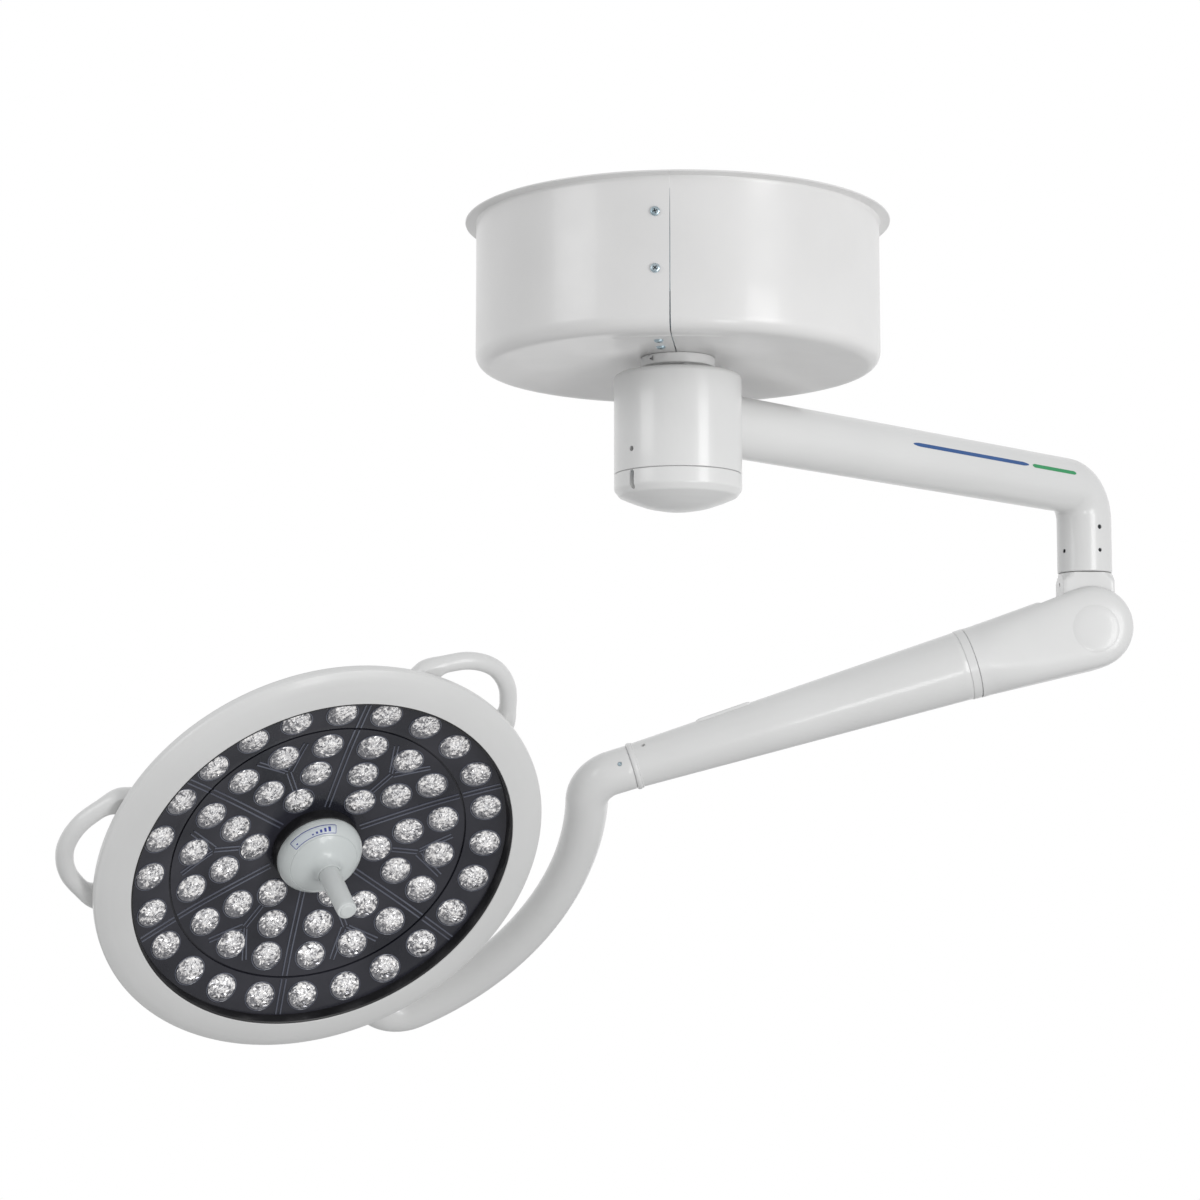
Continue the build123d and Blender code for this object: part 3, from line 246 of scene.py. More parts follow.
def new_object(name, bm, matrix, material, body, replaces=(), sharp=32, smooth=True):
    bmesh.ops.remove_doubles(bm, verts=bm.verts, dist=1e-5)
    bmesh.ops.recalc_face_normals(bm, faces=bm.faces)
    bm.transform(Matrix.Scale(MM, 4) @ matrix)
    me = bpy.data.meshes.new(name)
    bm.to_mesh(me)
    bm.free()
    ob = bpy.data.objects.new(name, me)
    bpy.context.scene.collection.objects.link(ob)
    mats = material if isinstance(material, (list, tuple)) else [material]
    for m in mats:
        me.materials.append(MAT[m])
    if smooth:
        me.shade_smooth()
        me.set_sharp_from_angle(angle=radians(sharp))
    if body:
        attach(ob, body)
    if replaces:
        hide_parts(*([replaces] if isinstance(replaces, str) else replaces))
    return ob


def lathe_bm(profile, segments=128, start=0.0, arc=360.0, closed=True, lift=None, bm=None, mat_index=0):
    # profile is (radius, z) points; closed joins the last point to the first
    bm = bm or bmesh.new()
    full = arc >= 359.999
    count = segments if full else segments + 1
    rings = []
    for i in range(count):
        t = radians(start + arc * i / segments)
        row = []
        for r, z in profile:
            dz = lift(r, z, math.degrees(t)) if lift else 0.0
            row.append(bm.verts.new((r * cos(t), r * sin(t), z + dz)))
        rings.append(row)
    pairs = len(profile) if closed else len(profile) - 1
    for i in range(segments):
        a, b = rings[i], rings[(i + 1) % count]
        for j in range(pairs):
            k = (j + 1) % len(profile)
            quad = [a[j], b[j], b[k], a[k]]
            if profile[j][0] < 1e-9 and profile[k][0] < 1e-9:
                continue
            if profile[j][0] < 1e-9:
                quad = [a[j], b[k], a[k]]
            elif profile[k][0] < 1e-9:
                quad = [a[j], b[j], a[k]]
            f = bm.faces.new(quad)
            f.material_index = mat_index
    if not full and closed:
        bm.faces.new(rings[0])
        bm.faces.new(list(reversed(rings[-1])))
    return bm


def tube_bm(points, radii, sides=48, up=Vector((0, 0, 1)), caps=True, bm=None):
    bm = bm or bmesh.new()
    pts = [Vector(p) for p in points]
    tangents = []
    for i in range(len(pts)):
        tangents.append((pts[min(i + 1, len(pts) - 1)] - pts[max(i - 1, 0)]).normalized())
    side = tangents[0].cross(up).normalized()
    rows = []
    for i, p in enumerate(pts):
        side = (side - tangents[i] * side.dot(tangents[i])).normalized()
        other = tangents[i].cross(side).normalized()
        r = radii[i] if isinstance(radii, (list, tuple)) else radii
        row = []
        for k in range(sides):
            t = 2 * pi * k / sides
            row.append(bm.verts.new(p + side * cos(t) * r + other * sin(t) * r))
        rows.append(row)
    for a, b in zip(rows, rows[1:]):
        for k in range(sides):
            m = (k + 1) % sides
            bm.faces.new((a[k], a[m], b[m], b[k]))
    if caps:
        bm.faces.new(list(reversed(rows[0])))
        bm.faces.new(rows[-1])
    return bm


def prism_bm(outline, low, high, bm=None):
    # outline is 2-D points, extruded along z
    bm = bm or bmesh.new()
    bottom = [bm.verts.new((x, y, low)) for x, y in outline]
    top = [bm.verts.new((x, y, high)) for x, y in outline]
    n = len(outline)
    bm.faces.new(list(reversed(bottom)))
    bm.faces.new(top)
    for i in range(n):
        bm.faces.new((bottom[i], bottom[(i + 1) % n], top[(i + 1) % n], top[i]))
    return bm


def round_rect(w, h, r, steps=6, cx=0.0, cy=0.0):
    out = []
    for sx, sy, a0 in ((1, 1, 0), (-1, 1, 90), (-1, -1, 180), (1, -1, 270)):
        for k in range(steps + 1):
            t = radians(a0 + 90 * k / steps)
            out.append((cx + sx * (w / 2 - r) + r * cos(t), cy + sy * (h / 2 - r) + r * sin(t)))
    return out


def circle(r, n=24, cx=0.0, cy=0.0):
    return [(cx + r * cos(2 * pi * k / n), cy + r * sin(2 * pi * k / n)) for k in range(n)]


def cut(ob, bm, matrix):
    # removes a shape from a piece, for holes, slots and recesses
    bmesh.ops.recalc_face_normals(bm, faces=bm.faces)
    bm.transform(Matrix.Scale(MM, 4) @ matrix)
    me = bpy.data.meshes.new("cutter")
    bm.to_mesh(me)
    bm.free()
    tool = bpy.data.objects.new("cutter", me)
    bpy.context.scene.collection.objects.link(tool)
    mod = ob.modifiers.new("cut", "BOOLEAN")
    mod.operation = "DIFFERENCE"
    mod.solver = "EXACT"
    mod.object = tool
    bpy.context.view_layer.update()
    done = bpy.data.meshes.new_from_object(ob.evaluated_get(bpy.context.evaluated_depsgraph_get()))
    ob.modifiers.remove(mod)
    ob.data = done
    bpy.data.objects.remove(tool)
    done.shade_smooth()
    done.set_sharp_from_angle(angle=radians(32))


def face_out(origin, normal, up=Vector((0, 0, 1))):
    # frame standing on a surface: z out of it
    normal = normal.normalized()
    x = up.cross(normal)
    if x.length < 1e-6:
        x = Vector((1, 0, 0))
    return basis(origin, x, normal)


def pan_head(r=5.0, h=2.6):
    # a pan head with a cross recess, z out of the head
    prof = [(0.0, -6.0), (2.0, -6.0),
            (2.0, 0.0)] + fillet([(r, 0.0), (r, h * 0.62), (r * 0.72, h), (0.0, h * 1.04)],
                                                           [1.0, 1.2], 4)
    bm = lathe_bm(prof, 28, closed=False)
    bmesh.ops.recalc_face_normals(bm, faces=bm.faces)
    me = bpy.data.meshes.new("pan_head")
    bm.to_mesh(me)
    bm.free()
    ob = bpy.data.objects.new("pan_head", me)
    bpy.context.scene.collection.objects.link(ob)
    arm = 0.52 * r
    for turn in (0, 90):
        tool = prism_bm([(-arm, -0.55), (arm, -0.55), (arm, 0.55), (-arm, 0.55)], h - 1.6, h + 1)
        cut(ob, tool, Matrix.Scale(1 / MM, 4) @ Matrix.Rotation(radians(turn), 4, "Z"))
    out = bmesh.new()
    out.from_mesh(ob.data)
    bpy.data.objects.remove(ob)
    # faces inside the cross recess take the second, dark material as painted shade in the recess
    for f in out.faces:
        at = f.calc_center_median()
        f.material_index = 1 if 0.4 < at.z < h - 0.35 and at.xy.length < 0.56 * r else 0
    return out


def scatter(source, places):
    # copies one small mesh to many places, as one mesh
    out = bmesh.new()
    for place in places:
        copy = source.copy()
        copy.transform(place)
        me = bpy.data.meshes.new("copy")
        copy.to_mesh(me)
        copy.free()
        out.from_mesh(me)
        bpy.data.meshes.remove(me)
    return out


# ---------------------------------------------------------------- canopy

EDGE_Z, HOLE_Z, BODY_R = -165.0, -152.0, 224.0


def canopy_outline():
    lip = [(231.0, -0.4), (235.4, -0.4), (236.0, -0.9), (236.0, -1.7), (235.4, -2.2), (227.0, -2.9),
           (225.1, -3.6),
           (224.2, -5.0), (223.9, -7.5)]
    wall = [(223.8, -60.0), (223.9, -110.0), (224.0, -149.0)]
    corner = [(208.0 + 16 * cos(radians(a)), -149.0 - 16 * sin(radians(a))) for a in range(10, 91, 10)]
    under = []
    for r in list(range(200, 186, -6)) + list(range(186, 163, -1)) + [155, 140, 120, 100, 80, 60, 45, 34]:
        under.append((float(r), HOLE_Z + (r - 34.0) / 174.0 * (EDGE_Z - HOLE_Z)))
    inside = [(34.0, -149.5), (206.0, -162.4), (217.0, -158.0), (221.4, -148.0), (221.4, -5.0), (222.4, -1.6),
              (224.5, -0.4)]
    return lip + wall + corner + under + inside


def arc_mark(r, z, angle):
    # faint raised arc on the underside, beside the seam at the front
    if z > -150.5 or r > 187 or r < 164:
        return 0.0
    off = abs((angle - SEAM + 180) % 360 - 180)
    band = max(0.0, min(1.0, (r - 167.0) / 3.0, (184.0 - r) / 3.0))
    side = max(0.0, min(1.0, (21.0 - off) / 1.5))
    return -0.9 * band * side


for label, start in (("canopy_left", SEAM + 180), ("canopy_right", SEAM)):
    half = lathe_bm(canopy_outline(), 200, start + 0.5, 179.0, lift=arc_mark)
    for end, side in ((start, 90), (start + 180, -90)):
        # the two cut edges run parallel to the seam, half a millimetre from it
        out, off = heading(end), heading(end + side)
        for v in half.verts:
            flat = Vector((v.co.x, v.co.y, 0))
            if out.dot(flat) > 0 and abs(off.dot(flat)) < flat.length * 0.0096:
                gap = 0.12 if v.co.z > -8 else 0.45 if v.co.z > -148 else 0.7
                v.co.x, v.co.y = (out * sqrt(flat.length**2 - gap**2) + off * gap).xy
    new_object(label, half, WORLD, "canopy", "ceiling", label + "_shell")


def under_z(r):
    return HOLE_Z + (r - 34.0) / 174.0 * (EDGE_Z - HOLE_Z)


places = []
for face in (0, 180):
    side = -1 if face == 0 else 1
    azimuth = SEAM + face + side * 3.9
    for z in (-41.0, -101.0):
        places.append(face_out(heading(azimuth) * 223.8 + Vector((0, 0, z)), heading(azimuth)))
    for r in (90.0, 144.0):
        azimuth = SEAM + face + side * math.degrees(math.asin(15 / r))
        places.append(face_out(heading(azimuth) * r + Vector((0, 0, under_z(r))), Vector((0, 0, -1)),
                               heading(azimuth)))
HEADS = pan_head()
turned = [m @ Matrix.Rotation(radians(17 + 31 * i), 4, "Z") for i, m in enumerate(places)]
new_object("canopy_fasteners", scatter(HEADS, turned), WORLD, ["zinc", "dark"], "ceiling", "canopy_screws")

# ---------------------------------------------------------------- collar, neck and hub

ring_profile = fillet([(30.0, -152.7), (41.2, -152.7), (41.2, -163.6), (28.3, -163.6), (28.3, -152.7),
                       (30.0, -152.7)],
                      [1.0, 1.3, 0.3, 0.3], 4)
# collar and neck sleeve take the lighter enamel, painted light in the shaded crevice
collar = new_object("collar", lathe_bm(ring_profile[:-1], 96), WORLD, "bright", "ceiling", "collar_ring")
notch = prism_bm([(-3.8, 0.0), (2.4, -3.2), (2.4, 3.2)], -7.0, 4.0)
cut(collar, notch, face_out(heading(SEAM - 42) * 41.2 + Vector((0, 0, -157.6)), heading(SEAM - 42)))
neck = fillet([(28.15, -164.0), (28.35, -164.0), (28.35, -177.5), (28.15, -177.5)], 0.05, 2)
new_object("neck_sleeve", lathe_bm(neck, 96), WORLD, "bright", "ceiling")

hub_profile = fillet([(29.2, -175.0), (29.2, -171.0), (70.75, -171.0), (70.75, -282.7), (69.6, -283.1),
                      (44.5, -283.1),
                      (44.5, -183.5), (29.2, -183.5), (29.2, -175.0)], [0.8, 7.0, 0.7, 0.2, 0, 0, 0], 8)
hub = new_object("hub", lathe_bm(hub_profile[:-1], 160), WORLD, "enamel", "hub_arm", "hub_housing")
cut(hub, prism_bm(circle(3.0), -14.0, 4.0),
    face_out(heading(178) * 70.75 + Vector((0, 0, -261)), heading(178)))
cap_profile = fillet([(40.0, -283.5), (69.8, -283.5), (70.7, -284.2), (70.7, -300.5), (65.2, -307.6),
                      (52.0, -313.2),
                      (36.0, -318.9), (18.0, -322.6), (0.0, -323.9)], [0.3, 0.3, 5.0, 7.0, 40, 60, 60], 8)
cap_profile += [(0.0, -315.5), (40.0, -315.5)]
cap = new_object("hub_dome", lathe_bm(cap_profile, 160), WORLD, "cover", "hub_arm", "hub_cap")
slot_outline = round_rect(7.0, 21.0, 3.49, cx=0.0, cy=-4.5)
cut(cap, prism_bm(slot_outline, -9.0, 6.0),
    face_out(heading(178) * 70.75 + Vector((0, 0, -290)), heading(178)))
screw = lathe_bm(fillet([(0.0, -9.0), (3.0, -9.0), (3.0, -6.4), (0.0, -6.2)], [0, 0.5], 3), 24, closed=False)
new_object("cap_fastener", screw, face_out(heading(178) * 70.75 + Vector((0, 0, -288)), heading(178)), "zinc",
           "hub_arm", "cap_screw")

# ---------------------------------------------------------------- horizontal arm

path = [(x, 0.0, -218.0) for x in (54.0, 200.0, 400.0, 600.0, 700.0)]
for k in range(33):
    t = radians(90 * k / 32)
    path.append((720.0 + 42.0 * sin(t), 0.0, -260.0 + 42.0 * cos(t)))
path += [(762.0, 0.0, z) for z in (-262.0, -290.0, -327.8)]
swell = [35.0] * len(path)
path.append((762.0, 0.0, -329.0))
swell.append(34.2)
arm = new_object("arm_tube", tube_bm(path, swell, 96, up=Vector((0, 1, 0))), WORLD, "enamel", "hub_arm",
                 "horizontal_arm")
screws = bmesh.new()
for azimuth, z, r in ((250, -272, 3.0), (250, -302, 2.6), (168, -302, 2.8)):
    spot = face_out(Vector((762, 0, z)) + heading(azimuth) * 35.0, heading(azimuth))
    cut(arm, prism_bm(circle(r), -6.0, 2.0), spot)
    cup = lathe_bm([(0.0, -2.8), (1.3, -2.2), (1.4, -1.0), (r - 0.5, -0.9), (r - 0.06, -1.4),
                    (r - 0.06, -6.0),
                    (0.0, -6.0)], 20, closed=False)
    cup.transform(spot)
    me = bpy.data.meshes.new("copy")
    cup.to_mesh(me)
    screws.from_mesh(me)
new_object("arm_grub_screws", screws, WORLD, "dark", "hub_arm", "arm_set_screws")


def stripe(name, x0, x1, z_angle, width, material):
    # a plain painted line along the side of the arm
    bm = bmesh.new()
    rows = []
    for k in range(41):
        x = x0 + (x1 - x0) * k / 40
        grow = min(1.0, (k + 0.2) / 2.0, (40.2 - k) / 2.0) ** 0.5
        row = []
        for j in range(5):
            a = radians(-90 + z_angle) + (j / 4 - 0.5) * width * grow / 35.0
            row.append(bm.verts.new((x, 35.12 * sin(a), -218.0 + 35.12 * cos(a))))
        rows.append(row)
    for a, b in zip(rows, rows[1:]):
        for j in range(4):
            bm.faces.new((a[j], b[j], b[j + 1], a[j + 1]))
    return new_object(name, bm, WORLD, material, "hub_arm")


stripe("stripe_long", 372.0, 600.0, 16.0, 5.0, "stripe_blue")
stripe("stripe_short", 608.0, 700.0, 16.0, 5.0, "stripe_green")

# ---------------------------------------------------------------- knuckle under the drop (frame: x along the
# spring arm)

KNUCKLE = basis(PIVOT, heading(136.4), Vector((0, 0, 1)))
KX, KY = 33.0, 29.0
block = bmesh.new()
rows = []
for z, cone in ((70.0, 34.0), (69.4, 34.8), (66.0, 37.6), (62.5, 40.5), (59.5, 43.0), (54.0, 43.0),
                (30.0, 43.0), (0.0, 43.0)):
    row = []
    for k in range(120):
        t = 2 * pi * (k + 0.5) / 120
        reach = min(KX / max(abs(cos(t)), 1e-6), KY / max(abs(sin(t)), 1e-6), cone)
        row.append(block.verts.new((reach * cos(t), reach * sin(t), z)))
    rows.append(row)
for a, b in zip(rows, rows[1:]):
    for k in range(120):
        m = (k + 1) % 120
        block.faces.new((a[k], a[m], b[m], b[k]))
block.faces.new(rows[0])
block.faces.new(list(reversed(rows[-1])))
foot = bmesh.new()
prism_bm([(KX * cos(pi * k / 24), KX * sin(pi * k / 24)) for k in range(25)], -KY, KY, foot)
foot.transform(basis(Vector((0, 0, 0)), Vector((1, 0, 0)), Vector((0, 1, 0))))
for piece in (foot, lathe_bm([(0.0, 69.0), (20.0, 69.0), (20.0, 134.0), (0.0, 134.0)], 48, closed=False)):
    me = bpy.data.meshes.new("copy")
    piece.to_mesh(me)
    block.from_mesh(me)
    bpy.data.meshes.remove(me)
knuckle = new_object("knuckle_block", block, KNUCKLE, "enamel", "knuckle", "knuckle",
                     sharp=24)
for side in (-1, 1):
    spot = KNUCKLE @ basis(Vector((side * KX, 0, 56)), Vector((0, 1, 0)), Vector((side, 0, 0)))
    cut(knuckle, prism_bm(circle(3.0), -5.5, 2.0), spot)

# ---------------------------------------------------------------- spring arm (frame: x across, y up, z along)

COVER_R, HALF_W, RING_R, BACK, SEAM_S = 53.2, 46.0, 46.0, -3.5, 157.0


def cover_section(s, steps=16):
    # one closed loop round the cover at distance s from the pivot, top half first
    t = max(0.0, min(1.0, (s - 6.0) / 138.0))
    middle = -1.4 + 0.9 * t
    loop = []
    for k in range(4 * steps):
        a = 2 * pi * (k + 0.5) / (4 * steps)
        e = 2.0 / (4.8 - 2.8 * t)
        cx = abs(cos(a)) ** e * (1 if cos(a) > 0 else -1)
        cy = abs(sin(a)) ** e * (1 if sin(a) > 0 else -1)
        w = HALF_W + (RING_R - HALF_W) * t
        h = COVER_R + (RING_R - COVER_R) * t
        loop.append((w * cx, h * cy + middle))
    return loop


def cover_shell():
    bm = bmesh.new()
    stations = [BACK, 8, 16, 24, 32, 38, 44, 50, 56, 62, 68, 75, 82, 90, 98, 106, 114, 122, 130, 138, 144,
                150, 155, 155.6]
    rows = []
    for s in stations:
        shrink = 0.988 if s == 155.6 else 1.0
        rows.append([bm.verts.new((x * shrink, y * shrink, s)) for x, y in cover_section(s)])
    n = len(rows[0])
    for a, b in zip(rows, rows[1:]):
        for k in range(n):
            m = (k + 1) % n
            bm.faces.new((a[k], a[m], b[m], b[k]))
    half = n // 2
    top = [(x, y + 1.4) for x, y in cover_section(BACK)[:half]]
    fans = [rows[0][:half]]
    turns = 28
    for j in range(1, turns):
        t = pi * j / turns
        fans.append([bm.verts.new((x, y * cos(t) - 1.4, BACK - y * sin(t))) for x, y in top])
    fans.append([rows[0][n - 1 - k] for k in range(half)])
    for a, b in zip(fans, fans[1:]):
        for k in range(half - 1):
            bm.faces.new((a[k], b[k], b[k + 1], a[k + 1]))
    # close the two flat cheeks
    for index in (0, half - 1):
        rim = [fan[index] for fan in fans]
        centre = bm.verts.new((top[index][0], -1.4, BACK))
        for a, b in zip(rim, rim[1:]):
            bm.faces.new((a, b, centre) if index == 0 else (b, a, centre))
        bm.faces.new((rim[0], centre, rim[-1]) if index else (rim[-1], centre, rim[0]))
    return bm


cover = new_object("arm_cover", cover_shell(), FORE, "cover", "spring_arm", "rear_cover",
                   sharp=50)
thick = cover.modifiers.new("wall", "SOLIDIFY")
thick.thickness = 0.0016
thick.offset = -1
bpy.context.view_layer.update()
cover.data = bpy.data.meshes.new_from_object(cover.evaluated_get(bpy.context.evaluated_depsgraph_get()))
cover.modifiers.clear()
wedge = [(0.0, 0.0)] + [(90 * cos(radians(a)), -90 * sin(radians(a))) for a in (42, 65, 90, 115, 140, 160,
                                                                                178)]
cut(cover, prism_bm(wedge, -31.0, 31.0),
    FORE @ basis(Vector((0, 0, 0)), Vector((0, 0, 1)), Vector((1, 0, 0))))

for k, side in enumerate((-1, 1)):
    boss = [(0.0, 1.3), (12.0, 1.25), (19.0, 1.05), (23.5, 0.75), (27.0, 0.3), (29.4, -0.2), (31.0, -0.8),
            (0.0, -0.8)]
    new_object("pivot_boss_%d" % (k + 1), lathe_bm(boss, 96, closed=False),
               FORE @ basis(Vector((side * HALF_W, -5.0, -2.0)), Vector((0, 0, 1)), Vector((side, 0, 0))),
               "cover",
               "spring_arm", "pivot_caps")


def tube_r(s):
    return 45.0 + (28.6 - 45.0) * (s - SEAM_S) / 455.0


# the band beside the cover stands a little proud of the tube
fore_profile = [(39.0, 112.0), (43.5, 112.0), (43.5, 156.0), (45.2, 156.1), (45.9, 156.8), (45.6, 166.6),
                (45.1, 167.2),
                (44.3, 167.3), (44.3, 168.0)]
fore_profile += [(tube_r(s), float(s)) for s in [168.6] + list(range(176, 606, 18))]
fore_profile += [(28.8, 606.5), (28.6, 612.0), (24.0, 612.0)]
fore = new_object("fore_tube", lathe_bm(fore_profile, 128), FORE, "enamel", "spring_arm", "spring_arm_tube")
a = radians(47.0)
spot = basis(Vector((29.2 * cos(a), 29.2 * sin(a), 592.0)), Vector((0, 0, 1)), Vector((cos(a), sin(a), 0)))
cut(fore, prism_bm(circle(2.7), -4.0, 2.0), FORE @ spot)
bead = [(28.4, 605.0), (29.5, 605.2), (29.9, 605.7), (29.95, 606.8), (29.65, 607.2), (30.1, 607.6),
        (30.6, 608.6),
        (30.7, 610.0), (30.6, 611.4), (30.1, 612.6), (29.2, 613.4), (27.5, 613.5), (27.5, 612.6)]
new_object("front_bead", lathe_bm(bead, 128), FORE, "cover", "spring_arm", "bead_ring",
           sharp=50)

plate = bmesh.new()
rows = []
for k in range(25):
    s = 445.0 + 72.0 * k / 24
    base = tube_r(s)
    end = min(1.0, min(k, 24 - k) / 2.0 + 0.35)
    half_w = 13.0 * (1 - 0.12 * (1 - end))
    top = base + 1.5 * end
    section = [(-half_w, sqrt(base**2 - half_w**2) - 1.5), (-half_w, top - 1.2), (-half_w + 1.0, top - 0.35),
               (-half_w + 2.4, top), (half_w - 2.4, top), (half_w - 1.0, top - 0.35), (half_w, top - 1.2),
               (half_w, sqrt(base**2 - half_w**2) - 1.5)]
    rows.append([plate.verts.new((x, y, s)) for x, y in section])
for a, b in zip(rows, rows[1:]):
    for k in range(len(a)):
        m = (k + 1) % len(a)
        plate.faces.new((a[k], a[m], b[m], b[k]))
plate.faces.new(rows[0])
plate.faces.new(list(reversed(rows[-1])))
new_object("adjuster_lid", plate, FORE, "cover", "spring_arm", "adjuster_cover", sharp=40)

# ---------------------------------------------------------------- yoke (frame: x to the spring arm, y along
# the tilt axis)

ARC, BEND, HOOK, DROP = 360.0, 42.0, 45.0, 55.5
corner_a = sqrt((ARC + BEND) ** 2 - (BEND + DROP) ** 2)
corner_dir = atan2(BEND + DROP, corner_a)
hook_b = sqrt((ARC - HOOK) ** 2 - HOOK**2)
hook_dir = atan2(hook_b, HOOK)
yoke_path = [(415.3, 0.0), (414.6, 0.0), (408.0, 0.0), (400.0, 0.0), (corner_a, 0.0)]
finish_turn = corner_dir + pi
for k in range(1, 25):
    t = -pi / 2 + (finish_turn - 2 * pi + pi / 2) * k / 24
    yoke_path.append((corner_a + BEND * cos(t), BEND + BEND * sin(t)))
for k in range(1, 65):
    t = corner_dir + (hook_dir - corner_dir) * k / 64
    yoke_path.append((ARC * cos(t), ARC * sin(t) - DROP))
for k in range(1, 21):
    t = hook_dir + (pi - hook_dir) * k / 20
    yoke_path.append((HOOK + HOOK * cos(t), hook_b - DROP + HOOK * sin(t)))
yoke_path += [(0.0, 235.0), (0.0, 210.0), (0.0, 180.0), (0.0, 164.8)]
lengths = [0.0]
for p, q in zip(yoke_path, yoke_path[1:]):
    lengths.append(lengths[-1] + (Vector(p) - Vector(q)).length)
yoke_radii = [28.3 - 2.1 * min(1.0, max(0.0, (d - 20) / 170.0)) for d in lengths]
yoke_radii[0] = 27.9
yoke_points = [(x, y, 0.0) for x, y in yoke_path]
yoke = new_object("yoke_arm", tube_bm(yoke_points, yoke_radii, 96), YOKE, "enamel", "yoke", "yoke_tube")
a = radians(14.0)
spot = FORE @ basis(Vector((28.1 * cos(a), 28.1 * sin(a), 628.0)), Vector((0, 0, 1)),
                    Vector((cos(a), sin(a), 0)))
cut(yoke, prism_bm(circle(3.0), -5.0, 2.0), spot)
grub = lathe_bm([(0.0, -2.4), (1.4, -1.8), (1.5, -0.6), (2.5, -0.5), (2.94, -0.9), (2.94, -5.0), (0.0, -5.0)],
                20,
                closed=False)
new_object("yoke_grub_screw", grub, spot, "zinc", "yoke", "yoke_screw")

# ---------------------------------------------------------------- lamp head (frame: z out of the face)

DISH = [(57.0, 31.0), (81.6, 34.0), (119.6, 39.0), (164.0, 46.0), (218.7, 58.0), (242.7, 64.0)]


def dish_z(r):
    # smooth curve through the dish heights
    pts = DISH
    if r <= pts[0][0]:
        return pts[0][1] - (pts[0][0] - r) * 0.1
    for i in range(len(pts) - 1):
        (r0, z0), (r1, z1) = pts[i], pts[i + 1]
        if r <= r1 or i == len(pts) - 2:
            t = (r - r0) / (r1 - r0)
            m0 = (z1 - pts[max(i - 1, 0)][1]) / (r1 - pts[max(i - 1, 0)][0])
            rn, zn = pts[min(i + 2, len(pts) - 1)]
            m1 = (zn - z0) / (rn - r0)
            d = r1 - r0
            return ((2 * t**3 - 3 * t**2 + 1) * z0 + (t**3 - 2 * t**2 + t) * d * m0 + (3 * t**2 - 2 * t**3)
                    * z1
                    + (t**3 - t**2) * d * m1)


def dish_frame(r, angle, lift=0.0, spin=0.0):
    slope = (dish_z(r + 2) - dish_z(r - 2)) / 4.0
    t = radians(angle)
    out = Vector((-slope * cos(t), -slope * sin(t), 1.0)).normalized()
    tangent = Vector((-sin(t), cos(t), 0.0))
    at = Vector((r * cos(t), r * sin(t), dish_z(r))) + out * lift
    return basis(at, tangent, out) @ Matrix.Rotation(spin, 4, "Z")


bezel = fillet([(245.8, 70.0), (245.8, 80.0), (262.0, 78.9), (277.0, 75.6), (287.6, 70.4), (289.0, 68.2),
                (289.0, 61.6),
                (285.6, 58.6), (284.6, 56.2), (264.0, 56.2), (264.0, 66.0), (250.0, 68.0), (245.8, 68.0),
                (245.8, 70.0)],
               [1.1, 80, 60, 2.2, 1.4, 1.6, 0.8, 0, 0, 0, 0, 0], 10)
new_object("bezel", lathe_bm(bezel[:-1], 256), HEAD, "cover", "head", "bezel_ring")
liner = fillet([(245.6, 58.0), (245.6, 79.0), (244.6, 79.2), (243.0, 78.0), (242.8, 58.0), (245.6, 58.0)],
               [0.3, 0.6, 0.6, 0], 4)
new_object("face_liner", lathe_bm(liner[:-1], 256), HEAD, "black", "head", "opening_liner")

LENSES = []
for sector in range(6):
    for r, off in ((81.6, 0), (119.6, -15), (119.6, 15), (164, -19.6), (164, 0), (164, 19.6), (218.7, -22.4),
                   (218.7, -7.34), (218.7, 7.34), (218.7, 22.4)):
        LENSES.append((r, 60 * sector + off))

GROOVE_R = 191.5
front = []
for r in [54.5, 57, 62, 68, 74, 82, 90, 98, 106, 114, 122, 130, 138, 146, 154, 162, 170, 178, 185, 189]:
    front.append((float(r), dish_z(r)))
front += [(GROOVE_R - 1.3, dish_z(GROOVE_R) - 0.2), (GROOVE_R - 1.0, dish_z(GROOVE_R) - 2.6),
          (GROOVE_R + 1.0, dish_z(GROOVE_R) - 2.6), (GROOVE_R + 1.3, dish_z(GROOVE_R) + 0.3)]
for r in [194, 200, 208, 216, 224, 232, 240, 242.7]:
    front.append((float(r), dish_z(r) + 0.4))
panel = lathe_bm(front + [(242.7, 59.5)] + [(r, dish_z(r) - 4.0) for r in (218.0, 164.0, 119.0, 81.0, 54.5)],
                 288)


def rib(bm, points, width=1.7, height=1.0, index=1):
    # a thin raised line on the dish through (x, y) points, in a lighter material that paints a highlight
    # along the rib
    dense = []
    for (x0, y0), (x1, y1) in zip(points, points[1:]):
        n = max(2, int(math.hypot(x1 - x0, y1 - y0) / 6))
        dense += [(x0 + (x1 - x0) * k / n, y0 + (y1 - y0) * k / n) for k in range(n)]
    dense.append(points[-1])
    rows = []
    for i, (x, y) in enumerate(dense):
        p, q = dense[max(i - 1, 0)], dense[min(i + 1, len(dense) - 1)]
        d = Vector((q[0] - p[0], q[1] - p[1])).normalized()
        nx, ny = -d.y, d.x
        r = math.hypot(x, y)
        base = dish_z(r) + (0.4 if r > GROOVE_R else 0.0)
        row = []
        for off, z in ((-width / 2 - 0.35, -0.5), (-width / 2, height), (width / 2, height),
                       (width / 2 + 0.35, -0.5)):
            row.append(bm.verts.new((x + nx * off, y + ny * off, base + z)))
        rows.append(row)
    for a, b in zip(rows, rows[1:]):
        for k in range(4):
            m = (k + 1) % 4
            f = bm.faces.new((a[k], a[m], b[m], b[k]))
            f.material_index = index
    for f in (bm.faces.new(rows[0]), bm.faces.new(list(reversed(rows[-1])))):
        f.material_index = index


def polar(r, angle):
    return (r * cos(radians(angle)), r * sin(radians(angle)))


